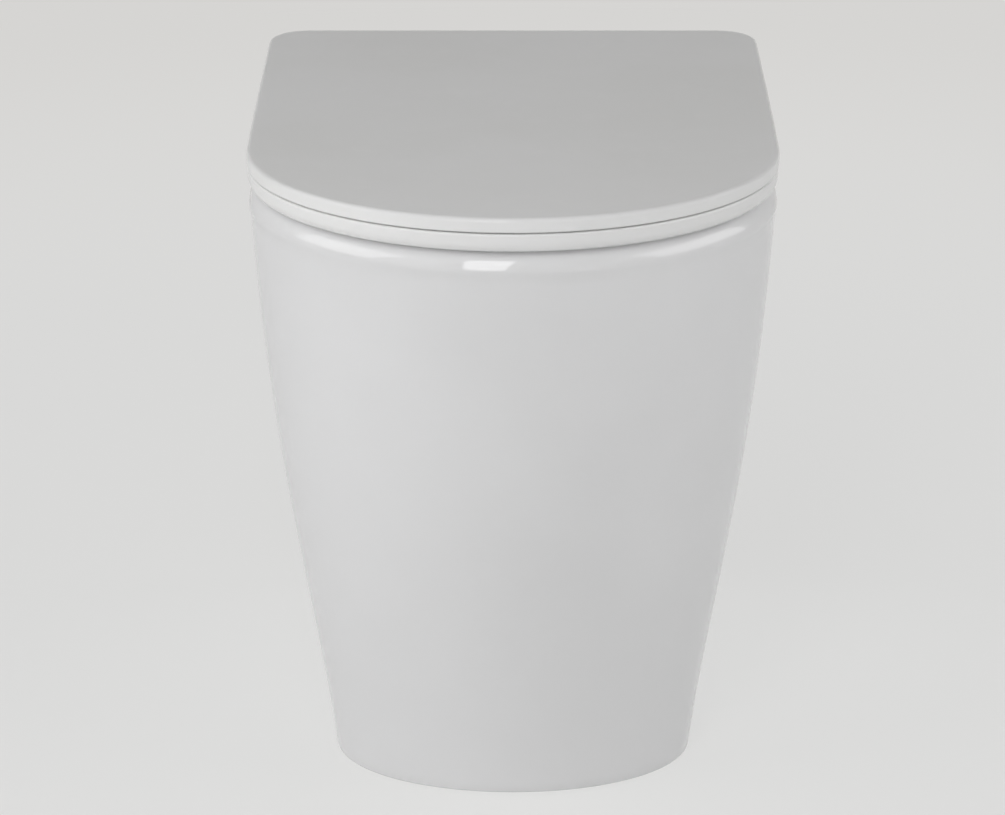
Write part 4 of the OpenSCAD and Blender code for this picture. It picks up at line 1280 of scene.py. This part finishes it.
finish_node("pan", pan_ware(), biscuit(), angle=38)
finish_node("seat_ring", seat(), angle=35)
finish_node("lid", lid(), angle=35)
for side, name in ((-1, "left"), (1, "right")):
    finish_node("hinge_base_" + name, hinge_base(side))
    finish_node("hinge_barrel_" + name, hinge_barrel(side))
    finish_node("release_button_" + name, release_button(side), angle=40)
    finish_node("side_cap_" + name, on_side(side_cap(), side), angle=40)
    finish_node("floor_bracket_" + name, on_side(floor_bracket(), side))
for node, make in (("side_screws", side_screw), ("fixing_studs", stud), ("fixing_washers", washer),
                   ("expansion_sleeves", sleeve), ("fixing_nuts", nut)):
    finish_node(node, pair(node, make))
finish_node("inlet_seal", inlet_seal(), angle=40)
finish_node("hinge_pins", joined("hinge_pins", [hinge_pin(side) for side in (-1, 1)]))
for side, name in ((-1, "lid"), (1, "seat")):
    finish_node(name + "_damper", damper(side))
    finish_node(name + "_damper_shaft", damper_shaft(side))
finish_node("seat_buffers", buffers("seat_buffers", SEAT_BUFFERS, SEAT_BUFFER_R,
    RIM_H + BUFFER_GAP, RING_Z + SEAT_BUFFER_SEAT))
finish_node("lid_buffers", buffers("lid_buffers", LID_BUFFERS, LID_BUFFER_R,
    LID_Z - LID_GAP + BUFFER_GAP, LID_Z + LID_RECESS + LID_BUFFER_SEAT))


# Studio

LAMP_DISTANCE = 2.1
FILL_DISTANCE = 2.3
MIRRORED = 0.65
AMBIENT = 0.08
FLOOR_HALF = 6
FADE_START, FADE_END = 0.7, 1.8
OWN_COLOUR = 0.75


def softbox(name, azimuths, heights, brightness, distance=LAMP_DISTANCE, glint=True):
    """A panel that faces the rim and fills a span of azimuths and one of angles above the rim.
    Azimuth 0 is in front and 90 on the right. Without glint, the object doesn't mirror the panel."""
    turn, rise = (radians(sum(span)/2) for span in (azimuths, heights))
    wide, high = (2*distance*tan(radians(span[1] - span[0])/2) for span in (azimuths, heights))
    data = bpy.data.lights.new(name, "AREA")
    data.shape = "RECTANGLE"
    data.size, data.size_y = wide*cos(rise), high
    data.energy = brightness*pi*data.size*data.size_y
    light = bpy.data.objects.new(name, data)
    outward = Vector((sin(turn)*cos(rise), -cos(turn)*cos(rise), sin(rise)))
    light.location = Vector((0, 0, RIM_H)) + distance*outward
    light.rotation_euler = (pi/2 - rise, 0, turn)
    light.visible_camera = False
    light.visible_glossy = glint
    bpy.context.scene.collection.objects.link(light)


def window(name, azimuths, heights, brightness):
    """A softbox of which only a share is mirrored, so that pale flats don't burn out from low views."""
    softbox(name, azimuths, heights, brightness*MIRRORED)
    softbox(name + "_fill", azimuths, heights, brightness*(1 - MIRRORED), FILL_DISTANCE, glint=False)


window("window_side", (-97, -50), (6, 46), 1.9)
window("window_corner", (-50, -25), (2, 46), 0.35)
window("window_front", (-18.5, -1.2), (2, 54), 3.4)
window("window_right", (52, 110), (8, 42), 1.7)
softbox("low_left", (-75, 15), (-4, 9), 0.65, distance=1.0, glint=False)
softbox("low_right", (25, 110), (-4, 9), 0.45, distance=1.0, glint=False)
softbox("behind", (130, 230), (-12, 10), 1.5, distance=1.9, glint=False)


def seen_rays(net):
    """1 for rays that show a surface, straight or by gloss or glass, and 0 for those that light others."""
    camera, glossy, through = (net.node("ShaderNodeLightPath", output=name)
        for name in ("Is Camera Ray", "Is Glossy Ray", "Is Transmission Ray"))
    return camera + glossy + through


def floor():
    """A pale floor that shows near its own colour, keeps a part of the shadow and fades to the backdrop."""
    corners = [(x*FLOOR_HALF, y*FLOOR_HALF, 0) for x, y in ((-1, -1), (1, -1), (1, 1), (-1, 1))]
    bm = bmesh.new()
    bm.faces.new([bm.verts.new(corner) for corner in corners])
    plane = new_object("floor", bm)
    f = Finish("pale_floor", {"IOR": 1.4})
    grain = f.noise(900, 3)
    pale = f.blend(f.noise(1.5, 2), tint(241, 241, 240), tint(238, 238, 237))
    ground = f.feed(Base_Color=pale, Roughness=0.62 + grain*0.1, Normal=f.bump(grain*0.00001))
    plane.data.materials.append(ground)
    where = f.node("ShaderNodeTexCoord", output="Object")
    distance = f.node("ShaderNodeVectorMath", {"operation": "LENGTH"}, {0: where}, "Value")
    far = distance.step(FADE_START, FADE_END)
    near = f.blend(f.noise(1.5, 2), tint(230, 230, 229), tint(227, 227, 226))
    shown = f.node("ShaderNodeEmission", None, {"Color": f.blend(far, near, BACKDROP), "Strength": 1.0})
    share = seen_rays(f)*(OWN_COLOUR + (1 - OWN_COLOUR)*far)
    mixed = f.node("ShaderNodeMixShader", None, {0: share, 1: Tap(f, f.shader.outputs[0]), 2: shown})
    output = next(node for node in f.tree.nodes if node.type == "OUTPUT_MATERIAL")
    f.tree.links.new(mixed.socket, output.inputs["Surface"])


def studio_air():
    """Even light from all round. The camera and gloss see a pale backdrop."""
    world = bpy.data.worlds.new("studio")
    bpy.context.scene.world = world
    world.use_nodes = True
    net = Net(world.node_tree)
    ambient = net.node("ShaderNodeBackground", None, {"Color": (1, 1, 1, 1), "Strength": AMBIENT})
    backdrop = net.node("ShaderNodeBackground", None, {"Color": BACKDROP, "Strength": 1.0})
    both = net.node("ShaderNodeMixShader", None, {0: seen_rays(net), 1: ambient, 2: backdrop})
    net.node("ShaderNodeOutputWorld", None, {"Surface": both})


floor()
studio_air()
bpy.context.scene.view_settings.view_transform = "Standard"
